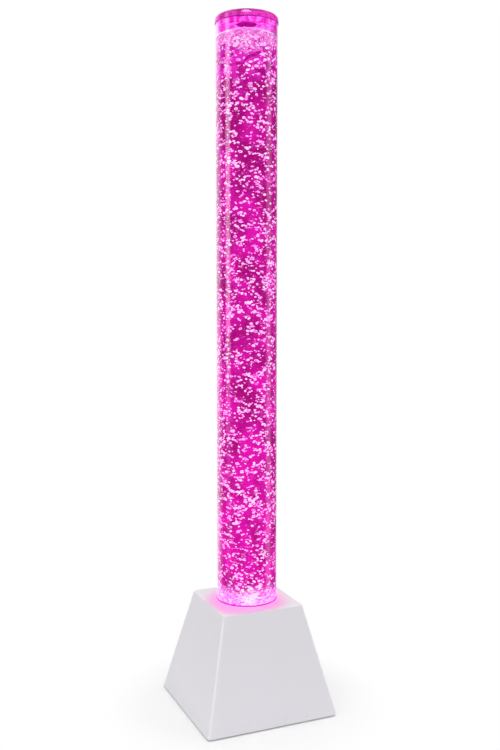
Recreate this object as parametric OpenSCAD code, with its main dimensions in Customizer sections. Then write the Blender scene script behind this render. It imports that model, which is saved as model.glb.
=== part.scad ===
// Bubble tube floor lamp: a water-filled clear tube on a truncated pyramid base.
// Millimetres, +Z up. The origin is the middle of the footprint, on the floor.
// The wide face seen in front looks towards -Y; the inlet and the button are at the rear, +Y.

/* [Overall] */
// Height from the floor to the top of the cap
overall_h = 1250; // [900:10:1800]
// Outer diameter of the clear tube
tube_od = 110; // [106:1:113]
// Wall of the clear tube
tube_wall = 4; // [3:0.5:5]
// How far the tube reaches down into the base
tube_depth = 50; // [46:1:50]
// Distance from the water surface up to the tube's rim
air_gap = 23; // [18:1:60]

/* [Base] */
// Height of the base's top face above the floor
base_h = 200; // [180:1:240]
// Width of the base along its lower edge
base_bottom_w = 250; // [248:1:270]
// Width of the base along its top edge
base_top_w = 155; // [154:1:170]
// Thickness of the base's sloping walls
shell_wall = 3.5; // [3:0.25:4.5]
// Thickness of the base's top wall
top_wall = 3.5; // [3:0.25:4.5]
// Radius of the rounded edges round the top face
edge_r = 4.5; // [3:0.5:6]
// Plan radius of the base's lower corners
corner_r = 7; // [6:0.5:9]
// Upright lip along the lower edge
lip_h = 1; // [0.5:0.25:2]
// Shadow gap between the lower edge and the floor
shell_gap = 2.5; // [1.5:0.25:3.5]

/* [Bottom cover and feet] */
// Height of a rubber foot
foot_h = 4; // [3.5:0.25:6]
// Radius of a rubber foot where it is glued on
foot_r = 10; // [8:0.5:11]
// Distance of each foot from the middle, along X and Y
foot_at = 82; // [70:1:84]
// Thickness of the bottom cover
plate_t = 3; // [2.5:0.25:4]
// Gap round the bottom cover
plate_gap = 0.4; // [0.2:0.1:1]
// Distance of each corner post from the middle, along X and Y
post_at = 100; // [98:0.5:101]
// Radius of a corner post
post_r = 5; // [4:0.5:5.5]
// Number of air slots in the bottom cover
vent_n = 6; // [2:1:8]
// Length of an air slot
vent_l = 40; // [20:1:60]
// Width of an air slot
vent_w = 3; // [2:0.5:3.5]

/* [Tube seat] */
// Gap between the tube and what it passes through
tube_gap = 0.5; // [0.3:0.1:0.8]
// Wall of the socket that holds the tube
socket_wall = 3.6; // [3:0.2:4.4]
// Thickness of the socket's flange
flange_t = 4; // [3:0.5:5]
// Length of the bosses that carry the flange
boss_h = 10; // [8:0.5:12]
// Distance of each flange screw from the middle, along X and Y
boss_at = 58; // [57:0.5:60]
// Thickness of the socket's ledge under the tube
ledge_t = 3.5; // [3:0.5:5]
// Radius of the light opening in the ledge
light_r = 44; // [40:0.5:45]
// Thickness of the rubber ring under the tube
gasket_t = 1.5; // [1:0.25:2.5]
// Height of the rubber ring under the base's top face
seal_h = 5; // [3:0.5:6]
// Thickness of the clear floor bonded into the tube
floor_t = 8; // [6:0.5:10]

/* [Air disc] */
// Radius of the air disc at the foot of the water
disc_r = 44; // [36:0.5:45]
// Height of the air disc
disc_h = 11; // [10:0.5:16]
// Wall of the air disc
disc_wall = 2.5; // [2:0.25:3.5]
// Radius of one pin hole in the air disc
pin_hole_r = 0.6; // [0.4:0.1:0.9]
// Rings of pin holes round the middle one
pin_rings = 3; // [1:1:4]

/* [Top cap] */
// Thickness of the cap's disc
cap_h = 14; // [12:0.5:20]
// How far the cap stands out over the tube's side
cap_over = 1.5; // [1:0.25:3]
// Radius of the rounding round the cap's top
cap_fillet = 8; // [3:0.5:10]
// Length of the cap's collar inside the tube
collar_h = 8; // [5:0.5:12]
// Gap between the collar and the tube
collar_gap = 0.4; // [0.2:0.1:1]
// Wall of the collar
collar_wall = 3; // [2:0.5:5]
// Radius of the round recess under the cap
recess_r = 18; // [10:0.5:24]
// Depth of that recess
recess_h = 5; // [2:0.5:8]
// Radius of the vent hole through the cap
vent_hole_r = 2.5; // [1.5:0.25:4]

/* [Lights] */
// Thickness of the light board and the control board
board_t = 1.6; // [1:0.2:2]
// Outer radius of the ring-shaped light board
ring_r = 55; // [54:0.5:57]
// Radius of its middle opening
ring_hole_r = 14; // [10:0.5:16]
// Radius of its screw circle
ring_screw_at = 49.5; // [49:0.5:50]
// Length of the posts above the light board
ring_post_h = 3; // [2.5:0.25:4]
// Side of one light
light_w = 5; // [3:0.5:6]
// Height of one light
light_h = 1.6; // [1:0.2:2]
// Radius of the inner circle of lights
light_inner = 22; // [18:0.5:26]
// Lights in the inner circle
light_inner_n = 8; // [4:1:12]
// Radius of the outer circle of lights
light_outer = 35; // [32:0.5:38]
// Lights in the outer circle
light_outer_n = 14; // [6:1:24]

/* [Air line] */
// Bore radius of the hose
hose_ir = 2; // [1.8:0.1:2.2]
// Wall of the hose
hose_wall = 1; // [0.8:0.1:1.5]
// Bend radius of the hose, along its middle
hose_bend = 12; // [10:0.5:16]
// Length of a hose barb
barb_l = 8; // [6:0.5:10]
// Radius of the air way through the fittings
air_r = 1; // [0.6:0.1:1.2]
// Outer radius of the check valve
valve_r = 8; // [7:0.5:10]
// Length of the check valve's body
valve_l = 20; // [16:1:24]
// Distance of the check valve behind the middle
valve_y = 60; // [54:1:62]

/* [Air pump] */
// Length, depth and height of the pump's lower half
pump_l = 96; // [94:1:100]
pump_w = 62; // [60:1:66]
pump_h = 38; // [36:1:38]
// Height of the pump's cover
cover_h = 14; // [10:1:16]
// Wall of the pump's housing
pump_wall = 2.5; // [2:0.25:3]
// Height of a rubber pump mount
mount_h = 6; // [4:0.5:7]
// Radius of a rubber pump mount
mount_r = 6; // [4:0.5:8]
// Distance of the pump's middle in front of the lamp's middle
pump_front = 35; // [35:1:38]
// Radius of the arm's pivot pin
pivot_r = 2; // [1.5:0.25:2.5]
// Running gap round the pivot pin
pivot_gap = 0.05; // [0.03:0.01:0.1]

/* [Rear panel] */
// Height of the inlet and the button above the floor
rear_z = 50; // [44:1:60]
// Distance of the inlet to the right, seen from above with the front below
inlet_x = 35; // [25:1:45]
// Radius of the inlet's opening
inlet_bore_r = 2.9; // [2.75:0.05:3]
// Radius of the inlet's middle pin
inlet_pin_r = 1.05; // [0.9:0.05:1.25]
// Depth of the inlet's opening
inlet_depth = 11; // [9:0.5:12]
// Distance of the button to the left, seen from above with the front below
button_x = -35; // [-45:1:-25]
// Radius of the button
button_r = 5.7; // [5:0.1:5.8]
// How far the button stands out of its bezel
button_out = 1.7; // [1.6:0.1:3]
// How far the button travels when pressed
button_travel = 1.5; // [0.5:0.1:1.5]

/* [Screws and leads] */
// Radius of a screw's shank
screw_r = 1.45; // [1.2:0.05:1.5]
// Gap round a shank in its pilot hole
pilot_gap = 0.05; // [0.03:0.01:0.1]
// Gap round a shank where it passes through
pass_gap = 0.25; // [0.15:0.05:0.4]
// Radius of a screw's head
head_r = 3; // [2.5:0.1:3.2]
// Height of a screw's head
head_h = 2; // [1.5:0.1:2.2]
// Radius of a lead
lead_r = 1.2; // [0.8:0.1:1.3]
// Bend radius of a lead
lead_bend = 3; // [2:0.5:3]

/* [Hidden] */
$fn = 64;
bond_gap = 0.05;
cut = 1;
white_plastic = [0.93, 0.93, 0.94];
dark_plastic = [0.16, 0.16, 0.18];
grey_plastic = [0.55, 0.56, 0.58];
clear_pink = [1.0, 0.72, 0.93, 0.35];
water_pink = [0.9, 0.05, 0.68, 0.8];
rubber_grey = [0.2, 0.2, 0.21];
steel = [0.72, 0.73, 0.75];
copper = [0.78, 0.42, 0.2];
board_green = [0.1, 0.4, 0.2];
board_white = [0.9, 0.9, 0.88];
hose_clear = [0.85, 0.87, 0.88];
lead_black = [0.08, 0.08, 0.09];

// Base shell
lip_top = shell_gap + lip_h;
slope = atan((base_bottom_w - base_top_w) / 2 / (base_h - lip_top));
function outer_at(z) = base_bottom_w / 2 - (z - lip_top) * tan(slope);
function inner_at(z) = outer_at(z) - shell_wall / cos(slope);
ceiling_z = base_h - top_wall;
plate_z = foot_h;
plate_top = plate_z + plate_t;
plate_half = inner_at(plate_top) - plate_gap;
post_top = lip_top + (base_bottom_w / 2 - post_at - post_r - 0.5) / tan(slope);
pilot_depth = 13;

// Tube and its seat
tube_r = tube_od / 2;
tube_ir = tube_r - tube_wall;
tube_top = overall_h - cap_h;
tube_foot = base_h - tube_depth;
water_top = tube_top - air_gap;
ledge_top = tube_foot - gasket_t;
ledge_z = ledge_top - ledge_t;
flange_top = ceiling_z - boss_h;
cup_top = ceiling_z - seal_h;
cup_ir = tube_r + tube_gap;
cup_r = cup_ir + socket_wall;
floor_top = tube_foot + floor_t;
flange_half = boss_at + 6;
boss_r = 4.5;

// Air disc and its fitting
washer_t = 1.6;
fitting_r = 7.5;
fitting_t = 3;
thread_r = 4;
nut_t = 5;
nut_w = 14;
hose_slack = 5;
barb_root_z = tube_foot - nut_t - 2;
disc_top = floor_top + disc_h;
water_gap = 0.3;
hole_pitch = (disc_r - disc_wall - 4) / (pin_rings + 0.5);

// Light board
ring_top = ledge_z - ring_post_h;
ring_z = ring_top - board_t;
ring_post_r = 3;
ring_screws = 4;

// Air line
hose_r = hose_ir + hose_wall;
stem_r = hose_ir - 0.3;
ridge_r = hose_ir - 0.02;
pump_z = plate_top + mount_h;
arm_z = 22;
line_z = pump_z + arm_z;
valve_z = line_z + hose_bend + cut + barb_l;
valve_top = valve_z + valve_l;
cross_z = barb_root_z - barb_l - hose_bend - hose_slack;

// Pump, in its own frame: the origin is the middle of its underside
outlet_x = -7.5;
valve_box_x = -12;
valve_box_w = 30;
valve_box_front = 10;
valve_box_back = 24;
outlet_tip = 46;
pump_x = -outlet_x;
pump_y = -pump_front;
pivot_x = -36;
arm_y = -4;
arm_t = 3;
arm_w = 12;
arm_end = 14;
magnet_l = 6;
magnet_w = 8;
pole_x = 22;
yoke_x = 38;
yoke_t = 6;
limb_w = 8;
side_w = 6;
core_half = 18;
core_h = 16;
core_z = arm_z - core_h / 2;
hub_r = 5;
pin_seat = 8;
lead_z = 5;
lead_y = 8;
cover_boss_at = [pump_l / 2 - 5, pump_w / 2 - 5];
cover_boss_r = 3.5;
head_seat = 3;
diaphragm_r = 13;
coil_x = 30.7;
coil_half = 6.7;
coil_reach = 11.5;
coil_low = 15;

// Control board
control_x = -60;
control_y = 45;
control_w = 56;
control_d = 60;
control_post = 8;
control_hole = [24, 26];
control_z = plate_top + control_post;
control_top = control_z + board_t;
plug_size = [8, 6, 7];
side_plug_at = 17;
plug_z = control_top + lead_r + 0.2;

// Rear panel, in its own frame: +Z points out of the sloping rear wall
inlet_thread_r = 3.95;
inlet_flange_r = 6;
inlet_flange_t = 2;
inlet_back = 20;
rear_nut_t = 2.5;
inlet_nut_w = 11;
button_nut_w = 19;
pin_sunk = 4;
pin_root_r = 1.6;
pin_below_face = 1.5;
bezel_r = 9;
bezel_t = 1.8;
bezel_thread_r = 7.4;
bezel_l = 12;
button_gap = 0.08;
button_foot = 8;
button_foot_r = button_r + 0.6;
plunger_r = 2;
switch_back = 20;
rear_gap = 0.2;

// ---- Shared shapes ----

module at_corners(x, y) {
    for (sx = [-1, 1]) {
        for (sy = [-1, 1]) {
            translate([sx * x, sy * y, 0]) children();
        }
    }
}

// A flat plate with round plan corners, standing on z = 0
module round_plate(half_x, half_y, r, t) {
    translate([-half_x + r, -half_y, 0]) cube([2 * (half_x - r), 2 * half_y, t]);
    translate([-half_x, -half_y + r, 0]) cube([2 * half_x, 2 * (half_y - r), t]);
    at_corners(half_x - r, half_y - r) cylinder(r = r, h = t);
}

// A pan-head screw: its head's seat is z = 0 and its shank points up
module screw(length) {
    recess_w = 0.8;
    recess_l = head_r * 1.2;
    difference() {
        union() {
            cylinder(r = screw_r, h = length);
            translate([0, 0, -head_h]) cylinder(r = head_r, h = head_h);
        }
        for (turn = [0, 90]) {
            rotate(turn) translate([-recess_l / 2, -recess_w / 2, -head_h - cut])
                cube([recess_l, recess_w, cut + head_h / 2]);
        }
    }
}

// A ring with square edges, standing on z = 0
module ring(r_out, r_in, h) {
    difference() {
        cylinder(r = r_out, h = h);
        translate([0, 0, -cut]) cylinder(r = r_in, h = h + 2 * cut);
    }
}

// A hexagonal nut with a round hole, standing on z = 0
module hex_nut(across, r_hole, h) {
    difference() {
        cylinder(r = across / 2 / cos(30), h = h, $fn = 6);
        translate([0, 0, -cut]) cylinder(r = r_hole, h = h + 2 * cut);
    }
}

// A hose barb that stands on z = 0: a stem with three ridges and an air way
module barb() {
    ridge = barb_l / 3;
    rotate_extrude()
        polygon(concat(
            [[air_r, 0], [stem_r, 0]],
            [for (i = [0 : 2]) each [[ridge_r, i * ridge + ridge / 3], [stem_r, (i + 1) * ridge]]],
            [[air_r, barb_l]]
        ));
}

function unit(v) = v / norm(v);

// A round rod from point a to point b
module rod(a, b, r) {
    v = b - a;
    translate(a) rotate([0, acos(v.z / norm(v)), atan2(v.y, v.x)]) cylinder(r = r, h = norm(v));
}

// A rod along the points p, with each corner rounded to the bend radius
module run(p, r, bend) {
    last = len(p) - 1;
    function half_turn(i) = acos(unit(p[i - 1] - p[i]) * unit(p[i + 1] - p[i])) / 2;
    function reach(i) = (i == 0 || i == last) ? 0 : bend / tan(half_turn(i));
    for (i = [0 : last - 1]) {
        along = unit(p[i + 1] - p[i]);
        straight = norm(p[i + 1] - p[i]) - reach(i) - reach(i + 1);
        if (straight > 0.01) rod(p[i] + along * reach(i), p[i + 1] - along * reach(i + 1), r);
    }
    for (i = [1 : last - 1]) {
        to_last = unit(p[i - 1] - p[i]);
        to_next = unit(p[i + 1] - p[i]);
        centre = p[i] + unit(to_last + to_next) * bend / sin(half_turn(i));
        ax = unit(p[i] + to_last * reach(i) - centre);
        az = unit(cross(to_next, to_last));
        ay = cross(az, ax);
        multmatrix([
            [ax.x, ay.x, az.x, centre.x],
            [ax.y, ay.y, az.y, centre.y],
            [ax.z, ay.z, az.z, centre.z]
        ])
            rotate_extrude(angle = 180 - 2 * half_turn(i)) translate([bend, 0]) circle(r = r);
    }
}

// A hose along the points p, open at both ends
module hose(p) {
    last = len(p) - 1;
    start = p[0] - unit(p[1] - p[0]) * cut;
    end = p[last] + unit(p[last] - p[last - 1]) * cut;
    difference() {
        run(p, hose_r, hose_bend);
        run([for (i = [0 : last]) i == 0 ? start : i == last ? end : p[i]], hose_ir, hose_bend);
    }
}

// Places its children on the sloping rear wall, with +Z pointing out of it
module on_rear(x) {
    translate([x, outer_at(rear_z), rear_z]) rotate([slope - 90, 0, 0]) children();
}

// Where a level lead starts, close to the back of a part of that depth on the rear wall
function behind_rear(x, depth) =
    [x, outer_at(rear_z) - depth * cos(slope) - lead_r * tan(slope) - bond_gap, rear_z - depth * sin(slope)];

module in_pump() {
    translate([pump_x, pump_y, pump_z]) children();
}

// ---- Base ----

module base_form() {
    shift = base_bottom_w / 2 * cos(slope) + lip_top * sin(slope);
    ball_z = base_h - edge_r;
    ball_at = (shift - edge_r - ball_z * sin(slope)) / cos(slope);
    hull() {
        translate([0, 0, ball_z]) at_corners(ball_at, ball_at) sphere(r = edge_r, $fn = 32);
        translate([0, 0, shell_gap])
            at_corners(base_bottom_w / 2 - corner_r, base_bottom_w / 2 - corner_r)
                cylinder(r = corner_r, h = lip_h, $fn = 32);
    }
}

module base_hollow() {
    slab = 0.01;
    low_z = shell_gap - cut;
    low = inner_at(low_z);
    high = inner_at(ceiling_z);
    hull() {
        translate([-low, -low, low_z]) cube([2 * low, 2 * low, slab]);
        translate([-high, -high, ceiling_z - slab]) cube([2 * high, 2 * high, slab]);
    }
}

module base_shell() {
    color(white_plastic)
    difference() {
        union() {
            difference() {
                base_form();
                base_hollow();
            }
            translate([0, 0, plate_top]) at_corners(post_at, post_at)
                cylinder(r = post_r, h = post_top - plate_top);
            translate([0, 0, flange_top]) at_corners(boss_at, boss_at)
                cylinder(r = boss_r, h = boss_h + cut);
        }
        translate([0, 0, ceiling_z - cut])
            cylinder(r = tube_r + tube_gap, h = top_wall + 2 * cut);
        translate([0, 0, plate_top - cut]) at_corners(post_at, post_at)
            cylinder(r = screw_r + pilot_gap, h = pilot_depth + cut);
        translate([0, 0, flange_top - cut]) at_corners(boss_at, boss_at)
            cylinder(r = screw_r + pilot_gap, h = boss_h);
        on_rear(inlet_x) translate([0, 0, -2 * shell_wall])
            cylinder(r = inlet_thread_r + rear_gap, h = 3 * shell_wall);
        on_rear(button_x) translate([0, 0, -2 * shell_wall])
            cylinder(r = bezel_thread_r + rear_gap, h = 3 * shell_wall);
    }
}

module base_plate() {
    plate_corner = 4;
    vent_pitch = 2 * vent_w + 2;
    color(grey_plastic)
    difference() {
        union() {
            translate([0, 0, plate_z]) round_plate(plate_half, plate_half, plate_corner, plate_t);
            translate([control_x, control_y, plate_z])
                at_corners(control_hole.x, control_hole.y)
                    cylinder(r = 3.5, h = plate_t + control_post);
        }
        translate([0, 0, plate_z - cut]) at_corners(post_at, post_at)
            cylinder(r = screw_r + pass_gap, h = plate_t + 2 * cut);
        translate([control_x, control_y, plate_top]) at_corners(control_hole.x, control_hole.y)
            cylinder(r = screw_r + pilot_gap, h = control_post + cut);
        for (i = [0 : vent_n - 1]) {
            translate([(i - (vent_n - 1) / 2) * vent_pitch - vent_w / 2, -vent_l / 2, plate_z - cut])
                cube([vent_w, vent_l, plate_t + 2 * cut]);
        }
    }
}

module base_screws() {
    color(steel) translate([0, 0, plate_z]) at_corners(post_at, post_at)
        screw(plate_t + pilot_depth - 2);
}

module feet() {
    taper = 1;
    color(rubber_grey) at_corners(foot_at, foot_at)
        cylinder(r1 = foot_r - taper, r2 = foot_r, h = foot_h);
}

// ---- Tube seat ----

module tube_seal() {
    color(rubber_grey) translate([0, 0, cup_top]) ring(cup_r, tube_r + 0.1, seal_h);
}

module tube_socket() {
    color(white_plastic)
    difference() {
        union() {
            translate([0, 0, ledge_z]) cylinder(r = cup_r, h = cup_top - ledge_z);
            translate([0, 0, flange_top - flange_t]) round_plate(flange_half, flange_half, 6, flange_t);
            for (i = [0 : ring_screws - 1]) {
                rotate(45 + i * 360 / ring_screws)
                    translate([ring_screw_at, 0, ring_top]) cylinder(r = ring_post_r, h = ring_post_h + cut);
            }
        }
        translate([0, 0, ledge_top]) cylinder(r = cup_ir, h = cup_top);
        translate([0, 0, ledge_z - cut]) cylinder(r = light_r, h = ledge_t + 2 * cut);
        translate([0, 0, flange_top - flange_t - cut]) at_corners(boss_at, boss_at)
            cylinder(r = screw_r + pass_gap, h = flange_t + 2 * cut);
        for (i = [0 : ring_screws - 1]) {
            rotate(45 + i * 360 / ring_screws) translate([ring_screw_at, 0, ring_top - cut])
                cylinder(r = screw_r + pilot_gap, h = ring_post_h + cut + ledge_t - 0.5);
        }
    }
}

module socket_gasket() {
    color(rubber_grey) translate([0, 0, ledge_top]) ring(tube_r, light_r + 1, gasket_t);
}

module socket_screws() {
    color(steel) translate([0, 0, flange_top - flange_t]) at_corners(boss_at, boss_at)
        screw(flange_t + boss_h - 3);
}

module acrylic_tube() {
    color(clear_pink) translate([0, 0, tube_foot]) ring(tube_r, tube_ir, tube_top - tube_foot);
}

module tube_floor() {
    color(clear_pink) translate([0, 0, tube_foot])
        ring(tube_ir - bond_gap, thread_r + bond_gap, floor_t);
}

module air_disc() {
    color(clear_pink)
    difference() {
        translate([0, 0, floor_top]) cylinder(r = disc_r, h = disc_h);
        translate([0, 0, floor_top - cut]) cylinder(r = disc_r - disc_wall, h = cut + disc_h - disc_wall);
        translate([0, 0, disc_top - disc_wall - cut]) {
            cylinder(r = pin_hole_r, h = disc_wall + 2 * cut, $fn = 24);
            for (k = [1 : pin_rings]) {
                for (i = [0 : 6 * k - 1]) {
                    rotate(i * 60 / k) translate([k * hole_pitch, 0, 0])
                        cylinder(r = pin_hole_r, h = disc_wall + 2 * cut, $fn = 24);
                }
            }
        }
    }
}

module inlet_fitting() {
    color(steel) {
        translate([0, 0, barb_root_z]) ring(thread_r, air_r, floor_top + washer_t - barb_root_z);
        translate([0, 0, floor_top + washer_t]) ring(fitting_r, air_r, fitting_t);
        translate([0, 0, barb_root_z]) mirror([0, 0, 1]) barb();
    }
}

module inlet_washer() {
    color(rubber_grey) translate([0, 0, floor_top]) ring(fitting_r, thread_r + bond_gap, washer_t);
}

module inlet_nut() {
    color(steel) translate([0, 0, tube_foot - nut_t]) hex_nut(nut_w, thread_r + bond_gap, nut_t);
}

// The water fills the tube round the air disc
module water() {
    r = tube_ir - bond_gap;
    color(water_pink) rotate_extrude() polygon([
        [disc_r + water_gap, floor_top],
        [r, floor_top],
        [r, water_top],
        [0, water_top],
        [0, disc_top + water_gap],
        [disc_r + water_gap, disc_top + water_gap]
    ]);
}

// ---- Cap ----

module top_cap() {
    r = tube_r + cap_over;
    arc_steps = 6;
    collar_r = tube_ir - collar_gap;
    bottom_edge = 0.8;
    color(clear_pink)
    difference() {
        translate([0, 0, tube_top]) {
            rotate_extrude() polygon(concat(
                [[0, 0], [r - bottom_edge, 0], [r, bottom_edge]],
                [for (k = [0 : arc_steps])
                    let (turn = 90 * k / arc_steps)
                    [r - cap_fillet + cap_fillet * cos(turn), cap_h - cap_fillet + cap_fillet * sin(turn)]],
                [[0, cap_h]]
            ));
            translate([0, 0, -collar_h]) ring(collar_r, collar_r - collar_wall, collar_h);
        }
        translate([0, 0, tube_top - cut]) cylinder(r = recess_r, h = recess_h + cut);
        translate([0, 0, tube_top]) cylinder(r = vent_hole_r, h = cap_h + cut);
    }
}

// ---- Lights ----

module light_board() {
    color(board_white)
    difference() {
        translate([0, 0, ring_z]) ring(ring_r, ring_hole_r, board_t);
        for (i = [0 : ring_screws - 1]) {
            rotate(45 + i * 360 / ring_screws) translate([ring_screw_at, 0, ring_z - cut])
                cylinder(r = screw_r + pass_gap, h = board_t + 2 * cut);
        }
    }
}

module light_circle(r, n) {
    for (i = [0 : n - 1]) {
        rotate(i * 360 / n) translate([r - light_w / 2, -light_w / 2, ring_top])
            cube([light_w, light_w, light_h]);
    }
}

module lights() {
    color([1, 0.8, 0.95]) {
        light_circle(light_inner, light_inner_n);
        light_circle(light_outer, light_outer_n);
    }
}

module light_screws() {
    color(steel)
    for (i = [0 : ring_screws - 1]) {
        rotate(45 + i * 360 / ring_screws) translate([ring_screw_at, 0, ring_z])
            screw(board_t + ring_post_h + 1);
    }
}

// ---- Pump ----

module pump_housing() {
    cover_pilot = 16;
    color(dark_plastic) in_pump()
    difference() {
        union() {
            difference() {
                translate([-pump_l / 2, -pump_w / 2, 0]) cube([pump_l, pump_w, pump_h]);
                translate([-pump_l / 2 + pump_wall, -pump_w / 2 + pump_wall, pump_wall])
                    cube([pump_l - 2 * pump_wall, pump_w - 2 * pump_wall, pump_h]);
            }
            at_corners(cover_boss_at.x, cover_boss_at.y) cylinder(r = cover_boss_r, h = pump_h);
            translate([pivot_x, arm_y, 0]) cylinder(r = hub_r, h = core_z);
            translate([yoke_x, arm_y - core_half, 0]) cube([yoke_t, 2 * core_half, core_z]);
            translate([valve_box_x - valve_box_w / 2, valve_box_front + 2, 0])
                cube([valve_box_w, valve_box_back - valve_box_front - 2, arm_z - valve_box_w / 2]);
        }
        translate([0, 0, pump_h - cover_pilot]) at_corners(cover_boss_at.x, cover_boss_at.y)
            cylinder(r = screw_r + pilot_gap, h = cover_pilot + cut);
        translate([pivot_x, arm_y, core_z - pin_seat])
            cylinder(r = pivot_r + pivot_gap, h = pin_seat + cut);
        translate([outlet_x, pump_w / 2 - 2 * pump_wall, arm_z]) rotate([-90, 0, 0])
            cylinder(r = 3.5, h = 3 * pump_wall);
        translate([-pump_l / 2 - cut, lead_y, lead_z]) rotate([0, 90, 0])
            cylinder(r = lead_r + 0.2, h = pump_wall + 2 * cut);
    }
}

module pump_cover() {
    slot_l = 30;
    slot_w = 2;
    slot_pitch = 8;
    color(dark_plastic) in_pump() translate([0, 0, pump_h])
    difference() {
        union() {
            difference() {
                translate([-pump_l / 2, -pump_w / 2, 0]) cube([pump_l, pump_w, cover_h]);
                translate([-pump_l / 2 + pump_wall, -pump_w / 2 + pump_wall, -cut])
                    cube([pump_l - 2 * pump_wall, pump_w - 2 * pump_wall, cover_h - pump_wall + cut]);
            }
            at_corners(cover_boss_at.x, cover_boss_at.y) cylinder(r = cover_boss_r, h = cover_h);
        }
        translate([0, 0, -cut]) at_corners(cover_boss_at.x, cover_boss_at.y)
            cylinder(r = screw_r + pass_gap, h = cover_h + 2 * cut);
        translate([0, 0, cover_h - head_seat]) at_corners(cover_boss_at.x, cover_boss_at.y)
            cylinder(r = head_r + pass_gap, h = head_seat + cut);
        for (i = [-2 : 2]) {
            translate([i * slot_pitch - slot_w / 2, -slot_l / 2, cover_h - pump_wall - cut])
                cube([slot_w, slot_l, pump_wall + 2 * cut]);
        }
    }
}

module pump_screws() {
    thread_l = 12;
    color(steel) in_pump() translate([0, 0, pump_h + cover_h - head_seat])
        at_corners(cover_boss_at.x, cover_boss_at.y) mirror([0, 0, 1])
            screw(cover_h - head_seat + thread_l);
}

module pump_mounts() {
    color(rubber_grey) translate([pump_x, pump_y, plate_top])
        at_corners(pump_l / 2 - mount_r - 4, pump_w / 2 - mount_r - 4)
            cylinder(r = mount_r, h = mount_h);
}

// The E-shaped core: a yoke and three limbs that face the magnet
module pump_core() {
    color(steel) in_pump() translate([0, arm_y, core_z]) {
        translate([yoke_x, -core_half, 0]) cube([yoke_t, 2 * core_half, core_h]);
        translate([pole_x, -magnet_w / 2, 0]) cube([yoke_x - pole_x + cut, limb_w, core_h]);
        for (low = [-core_half, core_half - side_w]) {
            translate([pole_x, low, 0]) cube([yoke_x - pole_x + cut, side_w, core_h]);
        }
    }
}

module coil_bobbin() {
    slip = 0.2;
    wall = 1;
    cheek = 1.2;
    color(grey_plastic) in_pump() translate([coil_x, arm_y, arm_z])
    difference() {
        union() {
            translate([-coil_half, -limb_w / 2 - slip - wall, -core_h / 2 - slip - wall])
                cube([2 * coil_half, limb_w + 2 * (slip + wall), core_h + 2 * (slip + wall)]);
            for (x = [-coil_half, coil_half - cheek]) {
                translate([x, -coil_reach, -coil_low]) cube([cheek, 2 * coil_reach, 2 * coil_low]);
            }
        }
        translate([-coil_half - cut, -limb_w / 2 - slip, -core_h / 2 - slip])
            cube([2 * (coil_half + cut), limb_w + 2 * slip, core_h + 2 * slip]);
    }
}

module coil_winding() {
    inner = [limb_w / 2 + 1.3, core_h / 2 + 1.3];
    half = coil_half - 1.3;
    color(copper) in_pump() translate([coil_x - half, arm_y, arm_z])
    rotate([90, 0, 90]) difference() {
        round_plate(coil_reach - 1, coil_low - 1, 3, 2 * half);
        translate([-inner.x, -inner.y, -cut]) cube([2 * inner.x, 2 * inner.y, 2 * (half + cut)]);
    }
}

module swing_arm() {
    stud_r = 4;
    stud_l = 3;
    color(steel) in_pump() translate([0, arm_y, arm_z])
    difference() {
        union() {
            translate([pivot_x, -arm_t / 2, -arm_w / 2]) cube([arm_end - pivot_x, arm_t, arm_w]);
            translate([pivot_x, 0, -core_h / 2 + 0.5]) cylinder(r = hub_r, h = core_h - 1);
            translate([valve_box_x, 0, 0]) rotate([-90, 0, 0])
                cylinder(r = stud_r, h = arm_t / 2 + stud_l);
        }
        translate([pivot_x, 0, -core_h]) cylinder(r = pivot_r + pivot_gap, h = 2 * core_h);
    }
}

module arm_magnet() {
    color([0.3, 0.3, 0.32]) in_pump()
        translate([arm_end, arm_y - magnet_w / 2, arm_z - arm_w / 2]) cube([magnet_l, magnet_w, arm_w]);
}

module pivot_pin() {
    above_hub = 3;
    color(steel) in_pump() translate([pivot_x, arm_y, core_z - pin_seat])
        cylinder(r = pivot_r, h = pin_seat + core_h + above_hub);
}

// The rubber cup between the arm's stud and the valve box, turned about Y
module diaphragm() {
    skin = 1.2;
    face_r = 7;
    low = arm_y + arm_t / 2 + 3 + 0.1;
    high = valve_box_front;
    color(rubber_grey) in_pump() translate([valve_box_x, low, arm_z]) rotate([-90, 0, 0])
        rotate_extrude() polygon([
            [0, 0],
            [face_r, 0],
            [diaphragm_r - 2 + skin, high - low - 3],
            [diaphragm_r, high - low - 3],
            [diaphragm_r, high - low],
            [diaphragm_r - 3, high - low],
            [face_r - skin, 2],
            [0, 2]
        ]);
}

module valve_box() {
    depth = valve_box_back - valve_box_front;
    chamber_r = diaphragm_r - 3.5;
    color(grey_plastic) in_pump()
    difference() {
        union() {
            translate([valve_box_x - valve_box_w / 2, valve_box_front, arm_z - valve_box_w / 2])
                cube([valve_box_w, depth, valve_box_w]);
            translate([outlet_x, valve_box_back, arm_z]) rotate([-90, 0, 0]) {
                cylinder(r = 3.2, h = outlet_tip - barb_l - valve_box_back);
                translate([0, 0, outlet_tip - barb_l - valve_box_back]) barb();
            }
        }
        translate([valve_box_x, valve_box_front - cut, arm_z]) rotate([-90, 0, 0])
            cylinder(r = chamber_r, h = 4 + cut);
        translate([outlet_x, valve_box_front, arm_z]) rotate([-90, 0, 0])
            cylinder(r = air_r, h = outlet_tip - barb_l - valve_box_front + cut / 2);
        translate([2 * valve_box_x - outlet_x, valve_box_front, arm_z]) rotate([-90, 0, 0])
            cylinder(r = air_r, h = depth + cut);
    }
}

module valve_flaps() {
    flap_t = 0.6;
    color(rubber_grey) in_pump()
    for (x = [outlet_x, 2 * valve_box_x - outlet_x]) {
        translate([x, valve_box_front + 4 - flap_t, arm_z]) rotate([-90, 0, 0])
            cylinder(r = 3.2, h = flap_t);
    }
}

// ---- Air line ----

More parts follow.
